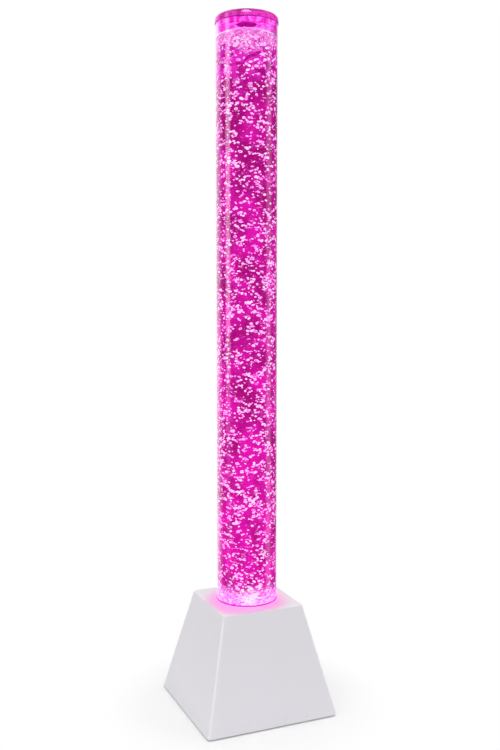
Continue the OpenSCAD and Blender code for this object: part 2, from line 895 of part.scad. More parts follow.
module hose_lower() {
    color(hose_clear) hose([
        [0, pump_y + outlet_tip - barb_l, line_z],
        [0, valve_y, line_z],
        [0, valve_y, valve_z]
    ]);
}

module hose_upper() {
    color(hose_clear) hose([
        [0, valve_y, valve_top],
        [0, valve_y, cross_z],
        [0, 0, cross_z],
        [0, 0, barb_root_z]
    ]);
}

// One half of the check valve: a cup with a barb on its closed end, open side up
module check_half() {
    wall = 2.5;
    difference() {
        cylinder(r = valve_r, h = valve_l / 2);
        translate([0, 0, wall]) cylinder(r = valve_r - wall, h = valve_l);
        translate([0, 0, -cut]) cylinder(r = air_r, h = valve_l);
    }
    mirror([0, 0, 1]) barb();
}

module check_valve_lower() {
    color(white_plastic) translate([0, valve_y, valve_z]) check_half();
}

module check_flap() {
    seat = 2.5;
    color(rubber_grey) translate([0, valve_y, valve_z + seat]) cylinder(r = 4.5, h = 0.8);
}

module check_valve_upper() {
    color(grey_plastic) translate([0, valve_y, valve_top]) mirror([0, 0, 1]) check_half();
}

// ---- Control board ----

module control_board() {
    color(board_green) translate([control_x, control_y, control_z])
    difference() {
        round_plate(control_w / 2, control_d / 2, 3, board_t);
        translate([0, 0, -cut]) at_corners(control_hole.x, control_hole.y)
            cylinder(r = screw_r + pass_gap, h = board_t + 2 * cut);
    }
}

module board_parts() {
    edge = 1;
    color(dark_plastic) translate([control_x, control_y, control_top]) {
        for (x = [0, 15]) {
            translate([x - plug_size.x / 2, -control_d / 2 + edge, 0]) cube(plug_size);
        }
        translate([-plug_size.x / 2, control_d / 2 - edge - plug_size.y, 0]) cube(plug_size);
        translate([control_w / 2 - edge - plug_size.y, side_plug_at - plug_size.x / 2, 0])
            cube([plug_size.y, plug_size.x, plug_size.z]);
        translate([-10, -6, 0]) cube([12, 12, 2]);
        translate([-16, 12, 0]) cylinder(r = 4, h = 11);
        translate([-16, -12, 0]) cylinder(r = 4, h = 11);
        translate([8, 2, 0]) cube([9, 9, 5]);
    }
}

module board_screws() {
    color(steel) translate([control_x, control_y, control_top]) at_corners(control_hole.x, control_hole.y)
        mirror([0, 0, 1]) screw(board_t + control_post - 1);
}

// ---- Rear panel ----

module power_inlet() {
    color(dark_plastic) on_rear(inlet_x)
    difference() {
        union() {
            cylinder(r = inlet_flange_r, h = inlet_flange_t);
            translate([0, 0, -inlet_back + 4]) cylinder(r = inlet_thread_r, h = inlet_back - 4);
            translate([-4.5, -4.5, -inlet_back]) cube([9, 9, 5]);
        }
        translate([0, 0, inlet_flange_t - inlet_depth]) cylinder(r = inlet_bore_r, h = inlet_depth + cut);
        translate([0, 0, inlet_flange_t - inlet_depth - pin_sunk])
            cylinder(r = pin_root_r + bond_gap, h = inlet_depth);
    }
}

module inlet_pin() {
    color(steel) on_rear(inlet_x) translate([0, 0, inlet_flange_t - inlet_depth]) {
        cylinder(r = inlet_pin_r, h = inlet_depth - pin_below_face);
        translate([0, 0, -pin_sunk]) cylinder(r = pin_root_r, h = pin_sunk);
    }
}

module power_inlet_nut() {
    color(steel) on_rear(inlet_x) translate([0, 0, -shell_wall - rear_nut_t])
        hex_nut(inlet_nut_w, inlet_thread_r + bond_gap, rear_nut_t);
}

module button_bezel() {
    color(dark_plastic) on_rear(button_x)
    difference() {
        union() {
            cylinder(r = bezel_r, h = bezel_t);
            translate([0, 0, -bezel_l]) cylinder(r = bezel_thread_r, h = bezel_l);
        }
        translate([0, 0, -bezel_l - cut])
            cylinder(r = button_r + button_gap, h = bezel_l + bezel_t + 2 * cut);
        translate([0, 0, -bezel_l - cut])
            cylinder(r = button_foot_r + 0.2, h = bezel_l + cut - button_foot + 0.2);
    }
}

module button_cap() {
    edge = 0.6;
    foot_t = 1;
    top = bezel_t + button_out;
    color(grey_plastic) on_rear(button_x) {
        rotate_extrude() polygon([
            [0, -bezel_l - 2],
            [plunger_r, -bezel_l - 2],
            [plunger_r, -button_foot - foot_t],
            [button_foot_r, -button_foot - foot_t],
            [button_foot_r, -button_foot],
            [button_r, -button_foot],
            [button_r, top - edge],
            [button_r - edge, top],
            [0, top]
        ]);
    }
}

module button_nut() {
    color(steel) on_rear(button_x) translate([0, 0, -shell_wall - rear_nut_t])
        hex_nut(button_nut_w, bezel_thread_r + bond_gap, rear_nut_t);
}

module switch_body() {
    play = 0.1;
    color(dark_plastic) on_rear(button_x)
    difference() {
        translate([0, 0, -switch_back]) cylinder(r = bezel_thread_r, h = switch_back - bezel_l);
        translate([0, 0, -bezel_l - 2 - button_travel - 0.5])
            cylinder(r = plunger_r + play, h = bezel_l);
    }
}

// ---- Leads ----

module light_lead() {
    lead_x = control_x + 15;
    front = control_y - control_d / 2 + 1;
    color(lead_black) run([
        [lead_x, front, plug_z],
        [lead_x, 6, plug_z],
        [lead_x, 6, ring_z]
    ], lead_r, lead_bend);
}

module pump_lead() {
    front = control_y - control_d / 2 + 1;
    lead_level = pump_z + lead_z;
    color(lead_black) run([
        [control_x, front, lead_level],
        [control_x, pump_y + lead_y, lead_level],
        [pump_x + coil_x, pump_y + lead_y, lead_level],
        [pump_x + coil_x, pump_y, lead_level],
        [pump_x + coil_x, pump_y, pump_z + arm_z - coil_low + 1]
    ], lead_r, lead_bend);
}

module inlet_lead() {
    side = control_x + control_w / 2 - 1;
    plug_y = control_y + side_plug_at;
    start = behind_rear(inlet_x, inlet_back);
    color(lead_black) run([
        start,
        [inlet_x, plug_y, start.z],
        [inlet_x, plug_y, plug_z],
        [side, plug_y, plug_z]
    ], lead_r, lead_bend);
}

module button_lead() {
    back = control_y + control_d / 2 - 1;
    start = behind_rear(button_x, switch_back);
    turn_y = start.y - 2.5 * lead_bend;
    color(lead_black) run([
        start,
        [button_x, turn_y, start.z],
        [control_x, turn_y, start.z],
        [control_x, turn_y, plug_z],
        [control_x, back, plug_z]
    ], lead_r, lead_bend);
}

base_shell();
base_plate();
base_screws();
feet();
tube_seal();
tube_socket();
socket_gasket();
socket_screws();
acrylic_tube();
tube_floor();
air_disc();
inlet_fitting();
inlet_washer();
inlet_nut();
water();
top_cap();
light_board();
lights();
light_screws();
pump_housing();
pump_cover();
pump_screws();
pump_mounts();
pump_core();
coil_bobbin();
coil_winding();
swing_arm();
arm_magnet();
pivot_pin();
diaphragm();
valve_box();
valve_flaps();
hose_lower();
check_valve_lower();
check_flap();
check_valve_upper();
hose_upper();
control_board();
board_parts();
board_screws();
power_inlet();
inlet_pin();
power_inlet_nut();
button_bezel();
button_cap();
button_nut();
switch_body();
light_lead();
pump_lead();
inlet_lead();
button_lead();
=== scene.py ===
import math

import bpy
import numpy as np
from bpy.props import FloatProperty, FloatVectorProperty, IntProperty, PointerProperty
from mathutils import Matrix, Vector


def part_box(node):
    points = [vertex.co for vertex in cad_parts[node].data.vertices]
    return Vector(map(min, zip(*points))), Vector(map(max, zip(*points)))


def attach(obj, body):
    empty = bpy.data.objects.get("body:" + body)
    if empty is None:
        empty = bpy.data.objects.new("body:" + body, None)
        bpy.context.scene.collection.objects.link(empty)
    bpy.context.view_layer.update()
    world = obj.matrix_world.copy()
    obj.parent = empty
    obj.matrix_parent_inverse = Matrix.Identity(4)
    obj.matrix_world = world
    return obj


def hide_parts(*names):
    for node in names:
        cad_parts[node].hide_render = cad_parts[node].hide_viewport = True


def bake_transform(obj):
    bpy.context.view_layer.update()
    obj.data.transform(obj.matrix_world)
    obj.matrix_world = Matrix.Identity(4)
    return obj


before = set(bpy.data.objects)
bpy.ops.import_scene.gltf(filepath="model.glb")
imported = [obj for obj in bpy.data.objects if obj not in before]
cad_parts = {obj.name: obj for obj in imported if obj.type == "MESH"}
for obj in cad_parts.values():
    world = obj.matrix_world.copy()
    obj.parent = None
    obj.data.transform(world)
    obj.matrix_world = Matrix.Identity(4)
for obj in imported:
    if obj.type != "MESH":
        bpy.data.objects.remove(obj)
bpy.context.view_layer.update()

bl_info = {
    "name": "Bubble tube floor lamp",
    "version": (1, 0, 0),
    "blender": (4, 5, 0),
    "location": "View3D > Sidebar > Bubble Lamp",
    "description": "Lit water, bubbles, foam, finishes and studio of the bubble tube floor lamp",
    "category": "Add Mesh",
}

# Sizes that the frame fixes, in metres
WATER_LOW, WATER_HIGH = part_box("water")
WATER_R, WATER_TOP = WATER_HIGH.x, WATER_HIGH.z
DISC_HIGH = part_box("air_disc")[1]
BASE_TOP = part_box("base_shell")[1].z
TUBE_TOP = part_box("acrylic_tube")[1].z
CAP_LOW, CAP_HIGH = (corner.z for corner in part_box("top_cap"))
RECESS_R = 0.018  # the round recess under the cap

# Solids that a piece of this file stands for, so they get no finish
REPLACED = ("water", "diaphragm")

# Where the studio camera stands, in radians and metres, and its lens in millimetres
TURN = math.radians(23.28)
TILT = math.radians(5.25)
AWAY = 1.684
ASIDE = 0.0061
EYE_HEIGHT = 0.7706
LENS = 44.47
TO_CAMERA = (-math.sin(TURN), -math.cos(TURN), 0.0)
TO_LEFT = (-math.cos(TURN), math.sin(TURN), 0.0)

# The studio floor: its radius, the light it gives off, and where it starts and ends to run out into white
FLOOR_R = 1.0
FLOOR_LIFT = 0.10
FLOOR_FADE = (0.155, 0.28)

# Where the bubbles stand, in metres behind the water's side
BUBBLE_INSET = 0.0018
LEAST_INSET = 0.0014
STREAK_INSET = 0.0012
LARGE_INSET = 0.003
FROTH_HEAP = 0.0045  # how much higher the froth stands in front and behind than at the sides

FULL_TURN = 6.2832  # what random angles are drawn from
BEAM_TURN = 0.17  # how far right of the front the lamp's beam shows, in radians

WHITE = (1.0, 1.0, 1.0)
PALE_PINK = (1.0, 0.84, 1.0)


# ---- Shader maths ----

class Value:
    """A socket of a material. Sums written with it become Math nodes."""

    def __init__(self, graph, socket):
        self.graph = graph
        self.socket = socket

    def _math(self, operation, *values):
        return self.graph.node("Math", {"operation": operation}, *values)

    def __add__(self, other):
        return self._math("ADD", self, other)

    def __sub__(self, other):
        return self._math("SUBTRACT", self, other)

    def __rsub__(self, other):
        return self._math("SUBTRACT", other, self)

    def __mul__(self, other):
        return self._math("MULTIPLY", self, other)

    def __abs__(self):
        return self._math("ABSOLUTE", self)

    def highest(self, other):
        return self._math("MAXIMUM", self, other)


class Graph:
    """The nodes of one material or of the world."""

    def __init__(self, tree, output="Material"):
        self.tree = tree
        self.output = output
        tree.nodes.clear()

    def node(self, kind, settings=None, *values, out=0, **named):
        """Adds a node, sets its settings, then fills its sockets with numbers or links."""
        made = self.tree.nodes.new("ShaderNode" + kind)
        for name, setting in (settings or {}).items():
            setattr(made, name, setting)
        for place, value in list(enumerate(values)) + list(named.items()):
            key = place if isinstance(place, int) else place.replace("_", " ")
            self.fill(made.inputs[key], value)
        return Value(self, made.outputs[out])

    def fill(self, socket, value):
        """Links a socket to a Value, or sets it to a number or a colour."""
        if isinstance(value, Value):
            self.tree.links.new(value.socket, socket)
        elif hasattr(value, "__len__"):
            socket.default_value = (*value, 1.0)[:len(socket.default_value)]
        else:
            socket.default_value = value

    def place(self, stretch=(1.0, 1.0, 1.0)):
        """Object coordinates in metres, stretched along the axes."""
        spot = self.node("TexCoord", out="Object")
        if stretch == (1.0, 1.0, 1.0):
            return spot
        return self.node("Mapping", None, Vector=spot, Scale=stretch)

    def axis(self, letter):
        """One object coordinate."""
        return self.node("SeparateXYZ", None, self.place(), out=letter)

    def distance(self, spot=(0.0, 0.0, 0.0), stretch=(1.0, 1.0, 1.0)):
        """How far the stretched object coordinates are from a spot."""
        return self.node("VectorMath", {"operation": "DISTANCE"}, self.place(stretch), spot, out="Value")

    def noise(self, scale, detail=2.0, stretch=(1.0, 1.0, 1.0), distortion=0.0):
        """Cloudy noise, about 0 to 1."""
        return self.node("TexNoise", None, Vector=self.place(stretch), Scale=scale, Detail=detail,
                         Distortion=distortion, out="Fac")

    def cells(self, scale, stretch=(1.0, 1.0, 1.0), feature="F1"):
        """The distance from the middle of a random cell, or from its edge."""
        return self.node("TexVoronoi", {"feature": feature}, Vector=self.place(stretch),
                         Scale=scale, out="Distance")

    def ramp(self, value, low, high):
        """0 below low, 1 above high, and a smooth rise between them."""
        return self.node("MapRange", {"interpolation_type": "SMOOTHSTEP"}, value, low, high)

    def fall(self, value, low, high):
        """1 below low, 0 above high, and a smooth fall between them."""
        return 1 - self.ramp(value, low, high)

    def mix(self, share, first, second):
        """A colour between first and second."""
        made = self.tree.nodes.new("ShaderNodeMix")
        made.data_type = "RGBA"
        self.fill(made.inputs[0], share)
        self.fill(made.inputs[6], first)
        self.fill(made.inputs[7], second)
        return Value(self, made.outputs[2])

    def rays(self, kind):
        """1 for rays of that kind, such as Camera or Glossy."""
        return self.node("LightPath", out="Is " + kind + " Ray")

    def bump(self, height, distance, strength):
        """A normal from a height map, with the distance in metres."""
        return self.node("Bump", None, Height=height, Distance=distance, Strength=strength, out="Normal")

    def end(self, shader):
        made = self.tree.nodes.new("ShaderNodeOutput" + self.output)
        self.tree.links.new(shader.socket, made.inputs["Surface"])

    def surface(self, **sockets):
        """Ends the material with a Principled surface."""
        self.end(self.node("BsdfPrincipled", None, **sockets))


def material(name):
    """A material and the graph that builds it."""
    made = bpy.data.materials.get(name) or bpy.data.materials.new(name)
    made.use_nodes = True
    return made, Graph(made.node_tree)


def darker(colour, share):
    """That share of a colour."""
    return tuple(c * share for c in colour)


# ---- Finishes ----

def plastic(name, colour, rough, grain=900.0, depth=0.00004, mottle=0.05, coat=0.0):
    """Moulded plastic: faint cloudy tone, fine spark-eroded grain, uneven gloss."""
    made, g = material(name)
    cloud = g.noise(22.0, 3.0)
    fine = g.noise(grain, 2.0)
    tone = g.mix(g.ramp(cloud, 0.3, 0.7), colour, darker(colour, 1 - mottle))
    gloss = g.ramp(g.noise(60.0, 3.0), 0.25, 0.75) * 0.12 + (rough - 0.06)
    g.surface(Base_Color=tone, Roughness=gloss, Coat_Weight=coat, Normal=g.bump(fine, depth, 0.6))
    return made


def metal(name, colour, rough, stretch=(1.0, 1.0, 14.0)):
    """Bare metal: fine lines in layers across one axis, and cloudy dull spots."""
    made, g = material(name)
    lines = g.noise(700.0, 2.0, stretch)
    dull = g.ramp(g.noise(90.0, 3.0), 0.45, 0.75)
    tone = g.mix(dull * 0.5, colour, darker(colour, 0.72))
    g.surface(Base_Color=tone, Metallic=1.0, Roughness=dull * 0.18 + lines * 0.1 + (rough - 0.08),
              Normal=g.bump(lines, 0.00003, 0.5))
    return made


def rubber(name, colour, rough=0.75):
    """Soft rubber: a cloudy dusty bloom over a fine grain."""
    made, g = material(name)
    dust = g.ramp(g.noise(120.0, 4.0), 0.4, 0.8)
    tone = g.mix(dust * 0.35, colour, (0.12, 0.12, 0.125))
    g.surface(Base_Color=tone, Roughness=dust * 0.15 + rough,
              Normal=g.bump(g.noise(1400.0, 1.0), 0.00004, 0.7))
    return made


def winding(name, colour):
    """Enamelled wire: round turns side by side, 0.8 mm apart."""
    made, g = material(name)
    turns = g.node("TexWave", {"wave_type": "BANDS", "bands_direction": "Y"}, Vector=g.place(),
                   Scale=400.0, Distortion=0.6, Detail=1.0, out="Fac")
    tone = g.mix(turns, darker(colour, 0.45), colour)
    g.surface(Base_Color=tone, Metallic=0.85, Roughness=0.32, Coat_Weight=0.6,
              Normal=g.bump(turns, 0.0002, 0.8))
    return made


def board(name, colour, track):
    """A circuit board: solder mask with tracks showing through, and bare pads."""
    made, g = material(name)
    lanes = g.node("TexBrick", {"offset": 0.35}, Vector=g.place(), Scale=160.0, Mortar_Size=0.06,
                   Mortar_Smooth=0.2, out="Fac")
    pads = g.fall(g.cells(260.0), 0.16, 0.2)
    tone = g.mix(lanes, colour, track)
    tone = g.mix(pads * 0.6, tone, (0.75, 0.74, 0.7))
    g.surface(Base_Color=tone, Roughness=g.noise(300.0) * 0.2 + 0.3, Metallic=pads * 0.5,
              Normal=g.bump(lanes, 0.00004, 0.6))
    return made


def lit_lens(name, colour, strength):
    """A lit LED, with a slightly speckled glow."""
    made, g = material(name)
    speck = g.ramp(g.noise(900.0, 2.0), 0.35, 0.65)
    glow = g.mix(speck, darker(colour, 0.7), colour)
    g.surface(Base_Color=colour, Roughness=0.3, Emission_Color=glow, Emission_Strength=strength)
    return made


def clear_plastic(name, lustre, foot_glow):
    """Clear acrylic with faint upright hair lines, lit by the lamp.

    It glows at its foot, above the water it carries a painted pink tint and glow of the lamp's
    light, and a painted shade darkens it at the joint with the base.
    """
    made, g = material(name)
    height = g.axis("Z")
    hairs = g.ramp(g.noise(500.0, 2.0, (1.0, 1.0, 0.06)), 0.72, 0.8)
    # painted light: a pink tint and glow on the wall above the water
    rim = g.ramp(height, WATER_TOP + 0.001, WATER_TOP + 0.004)
    tint = g.mix(rim, (1.0, 0.94, 1.0), (0.92, 0.42, 0.83))
    # painted shade: a dark band on the wall just above the base
    joint = g.fall(height, BASE_TOP + 0.0012, BASE_TOP + 0.0028)
    tint = g.mix(joint, tint, (0.60, 0.08, 0.52))
    foot = g.fall(height, BASE_TOP - 0.005, BASE_TOP + 0.032)
    painted_rim_glow = g.mix(rim, (0.0, 0.0, 0.0), (0.10, 0.0, 0.07))
    glow = g.mix(foot * foot * (1 - joint), painted_rim_glow, (1.0, 0.0, 0.62))
    g.surface(Base_Color=tint, Roughness=hairs * 0.012 + 0.004, IOR=1.49, Transmission_Weight=1.0,
              Specular_IOR_Level=lustre, Emission_Color=glow, Emission_Strength=foot_glow)
    return made


# ---- Surfaces ----

def mesh_piece(name, points, faces, finish, body="lamp", tone=None):
    """A mesh object from an array of points and a list of faces, smooth all over.

    tone is one number per point for its material. A piece without a body is attached to none.
    """
    mesh = bpy.data.meshes.new(name)
    mesh.from_pydata(points, [], faces)
    mesh.polygons.foreach_set("use_smooth", np.ones(len(mesh.polygons), bool))
    if tone is not None:
        mesh.attributes.new("tone", "FLOAT", "POINT").data.foreach_set("value", tone.astype(np.float32))
    mesh.materials.append(finish)
    mesh.update()
    piece = bpy.data.objects.new(name, mesh)
    bpy.context.scene.collection.objects.link(piece)
    if body is not None:
        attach(piece, body)
    return piece


def around_axis(count):
    """Evenly spread angles for a full turn."""
    return np.arange(count) * (2 * math.pi / count)


def ring_faces(rings, around):
    """Quads between rings of points, and fans to a first and a last pole point.

    Point 0 is the lower pole, then come the rings from the bottom up, then the upper pole.
    """
    i = np.arange(around)
    j = (i + 1) % around
    last = 1 + rings * around
    low = np.stack([np.zeros_like(i), 1 + j, 1 + i], 1)
    top = last - around
    high = np.stack([top + i, top + j, np.full_like(i, last)], 1)
    start = 1 + np.arange(rings - 1)[:, None] * around
    quads = np.stack([start + i, start + j, start + around + j, start + around + i], -1).reshape(-1, 4)
    return low, quads, high


def turned(profile, around, wobble=None):
    """A closed surface of revolution.

    Point (k, a) is (r_k cos a, r_k sin a, z_k), where r and z follow the profile from the lower
    pole to the upper one. wobble(x, y, z) is added to each ring point, as whole arrays.
    """
    profile = np.array(profile, float)
    r, z = profile[1:-1, 0], profile[1:-1, 1]
    a = around_axis(around)
    points = np.stack([r[:, None] * np.cos(a), r[:, None] * np.sin(a), np.repeat(z[:, None], around, 1)], -1)
    if wobble is not None:
        points = points + wobble(points[..., 0], points[..., 1], points[..., 2])
    points = np.concatenate([[[0, 0, profile[0, 1]]], points.reshape(-1, 3), [[0, 0, profile[-1, 1]]]])
    low, quads, high = ring_faces(len(r), around)
    return points, low.tolist() + quads.tolist() + high.tolist()


def ball(around, rings):
    """The unit ball: x = sin v cos u, y = sin v sin u, z = cos v, closed at both poles."""
    u = around_axis(around)
    v = np.arange(rings, 0, -1) * (math.pi / (rings + 1))
    points = np.stack([np.sin(v)[:, None] * np.cos(u), np.sin(v)[:, None] * np.sin(u),
                       np.repeat(np.cos(v)[:, None], around, 1)], -1).reshape(-1, 3)
    return np.concatenate([[[0, 0, -1]], points, [[0, 0, 1]]]), ring_faces(rings, around)


def hoop(around, across, thick, dent):
    """A dented hoop round the y axis: (d + t cos v) cos u, t sin v and (d + t cos v) sin u.

    Its radius d is 1 + dent (sin(2u + 1) + 0.6 sin 3u) and its thickness t is
    thick (1 + 3 dent sin(u - 0.6)).
    """
    u = around_axis(around)[:, None]
    v = around_axis(across)[None]
    d = 1 + dent * (np.sin(2 * u + 1) + 0.6 * np.sin(3 * u))
    t = thick * (1 + 3 * dent * np.sin(u - 0.6))
    out = d + t * np.cos(v)
    points = np.stack([out * np.cos(u), t * np.sin(v), out * np.sin(u)], -1).reshape(-1, 3)
    i, k = np.meshgrid(np.arange(around), np.arange(across), indexing="ij")
    i2, k2 = (i + 1) % around, (k + 1) % across
    quads = np.stack([i * across + k, i * across + k2, i2 * across + k2, i2 * across + k], -1)
    return points, (quads.reshape(-1, 4),)


def scatter(shape, angle, r, z, sizes, roll, seed, bend=0.12):
    """Many copies of a shape in one mesh, standing round the tube's axis.

    A copy's x runs along the wall, its y outwards and its z up. Each point moves in or out by a
    random share of up to bend, is stretched by the copy's three half sizes, turned by roll in the
    plane of the wall, and carried to the copy's angle, distance from the axis and height. Gives the
    points, the faces and how many points one copy has.
    """
    points, faces = shape
    draw = np.random.default_rng(seed)
    count = len(angle)
    local = points[None] * (1 + draw.uniform(-bend, bend, (count, len(points), 1))) * sizes[:, None, :]
    turn = roll[:, None]
    along = local[..., 0] * np.cos(turn) - local[..., 2] * np.sin(turn)
    height = local[..., 0] * np.sin(turn) + local[..., 2] * np.cos(turn) + z[:, None]
    out = local[..., 1] + r[:, None]
    # a long copy follows the wall's curve
    side = angle[:, None] - along / r[:, None]
    placed = np.stack([out * np.cos(side), out * np.sin(side), height], -1).reshape(-1, 3)
    shift = (np.arange(count) * len(points))[:, None, None]
    every = []
    for part in faces:
        every += (part + shift).reshape(-1, part.shape[-1]).tolist()
    return placed, every, len(points)


def waves(x, y, z, size, seed):
    """A smooth random field: the sum of six sines with random directions, between about -1 and 1."""
    draw = np.random.default_rng(seed)
    total = np.zeros_like(x)
    for _ in range(6):
        d = draw.normal(0, 1, 3)
        d = d / np.linalg.norm(d) * (2 * math.pi / size) * draw.uniform(0.7, 1.4)
        total += np.sin(d[0] * x + d[1] * y + d[2] * z + draw.uniform(0, 6.28)) / 3
    return total


# ---- Settings ----

class GlowSettings(bpy.types.PropertyGroup):
    """The lit heart of the water."""
    depth: FloatProperty(name="Depth", description="Distance of the lit heart behind the water's side",
                         default=0.0066, min=0.004, max=0.02, unit="LENGTH")
    deep: FloatVectorProperty(name="Deep colour", description="Colour between the bubbles", subtype="COLOR",
                              size=3, default=(0.425, 0.0, 0.205), min=0, max=1)
    lit: FloatVectorProperty(name="Lit colour", description="Colour of the brighter water", subtype="COLOR",
                             size=3, default=(0.83, 0.005, 0.48), min=0, max=1)
    foot: FloatVectorProperty(name="Foot colour", description="Colour just above the base", subtype="COLOR",
                              size=3, default=(0.98, 0.28, 0.95), min=0, max=1)
    strength: FloatProperty(name="Strength", description="How brightly the water glows", default=1.05,
                            min=0, max=4)


class BubbleSettings(bpy.types.PropertyGroup):
    """The air bubbles in the water."""
    count: IntProperty(name="Count", description="Bubbles in the whole tube", default=7600, min=100, max=9000)
    usual: FloatProperty(name="Usual size", description="Radius of a usual bubble", default=0.00148,
                         min=0.0005, max=0.004, unit="LENGTH")
    least: FloatProperty(name="Smallest", description="Radius of the smallest bubble", default=0.0008,
                         min=0.0003, max=0.003, unit="LENGTH")
    most: FloatProperty(name="Largest", description="Radius of a large bubble", default=0.0026,
                        min=0.001, max=0.005, unit="LENGTH")
    joined: FloatProperty(name="Joined", description="Share of the bubbles that ride in chains", default=0.45,
                          min=0, max=1, subtype="FACTOR")
    colour: FloatVectorProperty(name="Colour", description="Colour of a lit bubble", subtype="COLOR",
                                size=3, default=(1.0, 0.52, 1.0), min=0, max=1)
    seed: IntProperty(name="Pattern", description="Changes where the bubbles are", default=7, min=1, max=999)


class FoamSettings(bpy.types.PropertyGroup):
    """The froth where the bubbles reach the water's surface."""
    depth: FloatProperty(name="Depth", description="How far the froth hangs below the surface",
                         default=0.034, min=0.005, max=0.06, unit="LENGTH")
    count: IntProperty(name="Count", description="Bubbles in the froth", default=1050, min=50, max=3000)
    colour: FloatVectorProperty(name="Colour", description="Colour of the froth", subtype="COLOR",
                                size=3, default=(1.0, 0.45, 0.93), min=0, max=1)


class FinishSettings(bpy.types.PropertyGroup):
    """Colours of the lamp's outer parts."""
    base: FloatVectorProperty(name="Base", description="Colour of the moulded base", subtype="COLOR",
                              size=3, default=(0.812, 0.796, 0.842), min=0, max=1)
    lustre: FloatProperty(name="Lustre", description="How strongly the clear tube mirrors the room",
                          default=0.28, min=0, max=1)
    foot_glow: FloatProperty(name="Foot glow", description="Light that the tube's wall gives off at the base",
                             default=1.35, min=0, max=5)


class StageSettings(bpy.types.PropertyGroup):
    """The studio."""
    floor: FloatVectorProperty(name="Floor", description="Colour of the floor", subtype="COLOR",
                               size=3, default=(0.8, 0.8, 0.8), min=0, max=1)
    sky: FloatProperty(name="Sky", description="Strength of the even light from all round", default=0.69,
                       min=0, max=3)
    key: FloatProperty(name="Top light", description="Power of the overhead softbox", default=38.0,
                       min=0, max=500, unit="POWER")
    front: FloatProperty(name="Front light", description="Power of the front softbox", default=7.0,
                         min=0, max=500, unit="POWER")


# ---- Operators ----

class LAMP_OT_stage(bpy.types.Operator):
    """Build the studio: camera, softboxes, surroundings and floor"""
    bl_idname = "bubble_lamp.stage"
    bl_label = "Studio"

    def execute(self, context):
        s = context.scene.lamp_stage
        context.scene.view_settings.view_transform = "Standard"
        self.camera(context.scene)
        self.softbox("top_light", (0.1, -0.1, 2.9), 2.4, s.key)
        self.softbox("front_light", (-1.55, -1.75, 1.5), 1.5, s.front)
        self.room(context.scene, s)
        self.floor(s)
        return {"FINISHED"}

    def camera(self, scene):
        """The photo's view: a little aside of the lamp's axis, looking slightly down."""
        data = bpy.data.cameras.new("camera")
        data.lens = LENS
        camera = bpy.data.objects.new("camera", data)
        scene.collection.objects.link(camera)
        camera.location = (AWAY * TO_CAMERA[0] - ASIDE * TO_LEFT[0],
                           AWAY * TO_CAMERA[1] - ASIDE * TO_LEFT[1], EYE_HEIGHT)
        camera.rotation_euler = (math.pi / 2 - TILT, 0, -TURN)
        scene.camera = camera

    def softbox(self, name, spot, width, power):
        """A square light that faces the lamp and doesn't show."""
        data = bpy.data.lights.new(name, "AREA")
        data.size = width
        data.energy = power
        light = bpy.data.objects.new(name, data)
        bpy.context.scene.collection.objects.link(light)
        light.location = spot
        aim = light.location.copy()
        aim.z -= 0.5
        light.rotation_euler = aim.to_track_quat("Z", "Y").to_euler()
        light.visible_glossy = False
        light.visible_transmission = False
        light.visible_camera = False

    def room(self, scene, s):
        """White to the camera and through clear parts; in reflections, a dark room with white panels.

        A panel's place is its turn from the camera's side in radians, positive to the left, and its
        height is the upward part of the direction, from -1 to 1.
        """
        world = bpy.data.worlds.new("studio")
        scene.world = world
        world.use_nodes = True
        g = Graph(world.node_tree, "World")
        way = g.node("TexCoord", out="Generated")
        ahead = g.node("VectorMath", {"operation": "DOT_PRODUCT"}, way, TO_CAMERA, out="Value")
        left = g.node("VectorMath", {"operation": "DOT_PRODUCT"}, way, TO_LEFT, out="Value")
        up = g.node("SeparateXYZ", None, way, out="Z")
        turn = g.node("Math", {"operation": "ARCTAN2"}, left, ahead)

        def panel(start, stop, soft):
            return g.ramp(turn, start - soft, start + soft) * g.fall(turn, stop - soft, stop + soft)

        strip = panel(1.17, 1.50, 0.05) * (g.ramp(up, -0.20, 0.05) * 2.3 + 0.2)
        behind_left = g.ramp(turn, 1.80, 2.4) * g.fall(turn, 3.0, 3.14) * 1.3
        right = panel(-1.85, -1.45, 0.1) * 0.75
        behind_right = panel(-3.10, -2.65, 0.15) * 0.5
        above = g.ramp(up, 0.47, 0.53) * panel(-0.30, 0.36, 0.05) * 11.0
        mirrored = (strip + behind_left + right + behind_right + 0.05).highest(above)
        glossy = g.rays("Glossy")
        seen = g.rays("Camera").highest(g.rays("Transmission"))
        strength = glossy * mirrored + (1 - glossy) * (seen + (1 - seen) * s.sky)
        g.end(g.node("Background", None, Color=WHITE, Strength=strength))

    def floor(self, s):
        """A round floor that keeps the lamp's shadow and runs out into white at its rim."""
        made, g = material("studio_floor")
        bare = g.node("BsdfDiffuse", None, Color=g.mix(g.noise(3.0), s.floor, darker(s.floor, 0.985)))
        lift = g.node("Emission", None, Color=WHITE, Strength=FLOOR_LIFT)
        near = g.node("AddShader", None, bare, lift)
        white = g.node("Emission", None, Color=WHITE, Strength=1.0)
        shown = g.node("MixShader", None, g.ramp(g.distance(), *FLOOR_FADE), near, white)
        seen = g.rays("Camera").highest(g.rays("Glossy")).highest(g.rays("Transmission"))
        g.end(g.node("MixShader", None, seen, bare, shown))
        turn = around_axis(96)
        rim = np.stack([FLOOR_R * np.cos(turn), FLOOR_R * np.sin(turn), np.zeros(len(turn))], 1)
        mesh = bpy.data.meshes.new("floor")
        mesh.from_pydata(rim, [], [range(len(turn))])
        mesh.materials.append(made)
        floor = bpy.data.objects.new("floor", mesh)
        bpy.context.scene.collection.objects.link(floor)
        floor.visible_glossy = False
        floor.visible_transmission = False


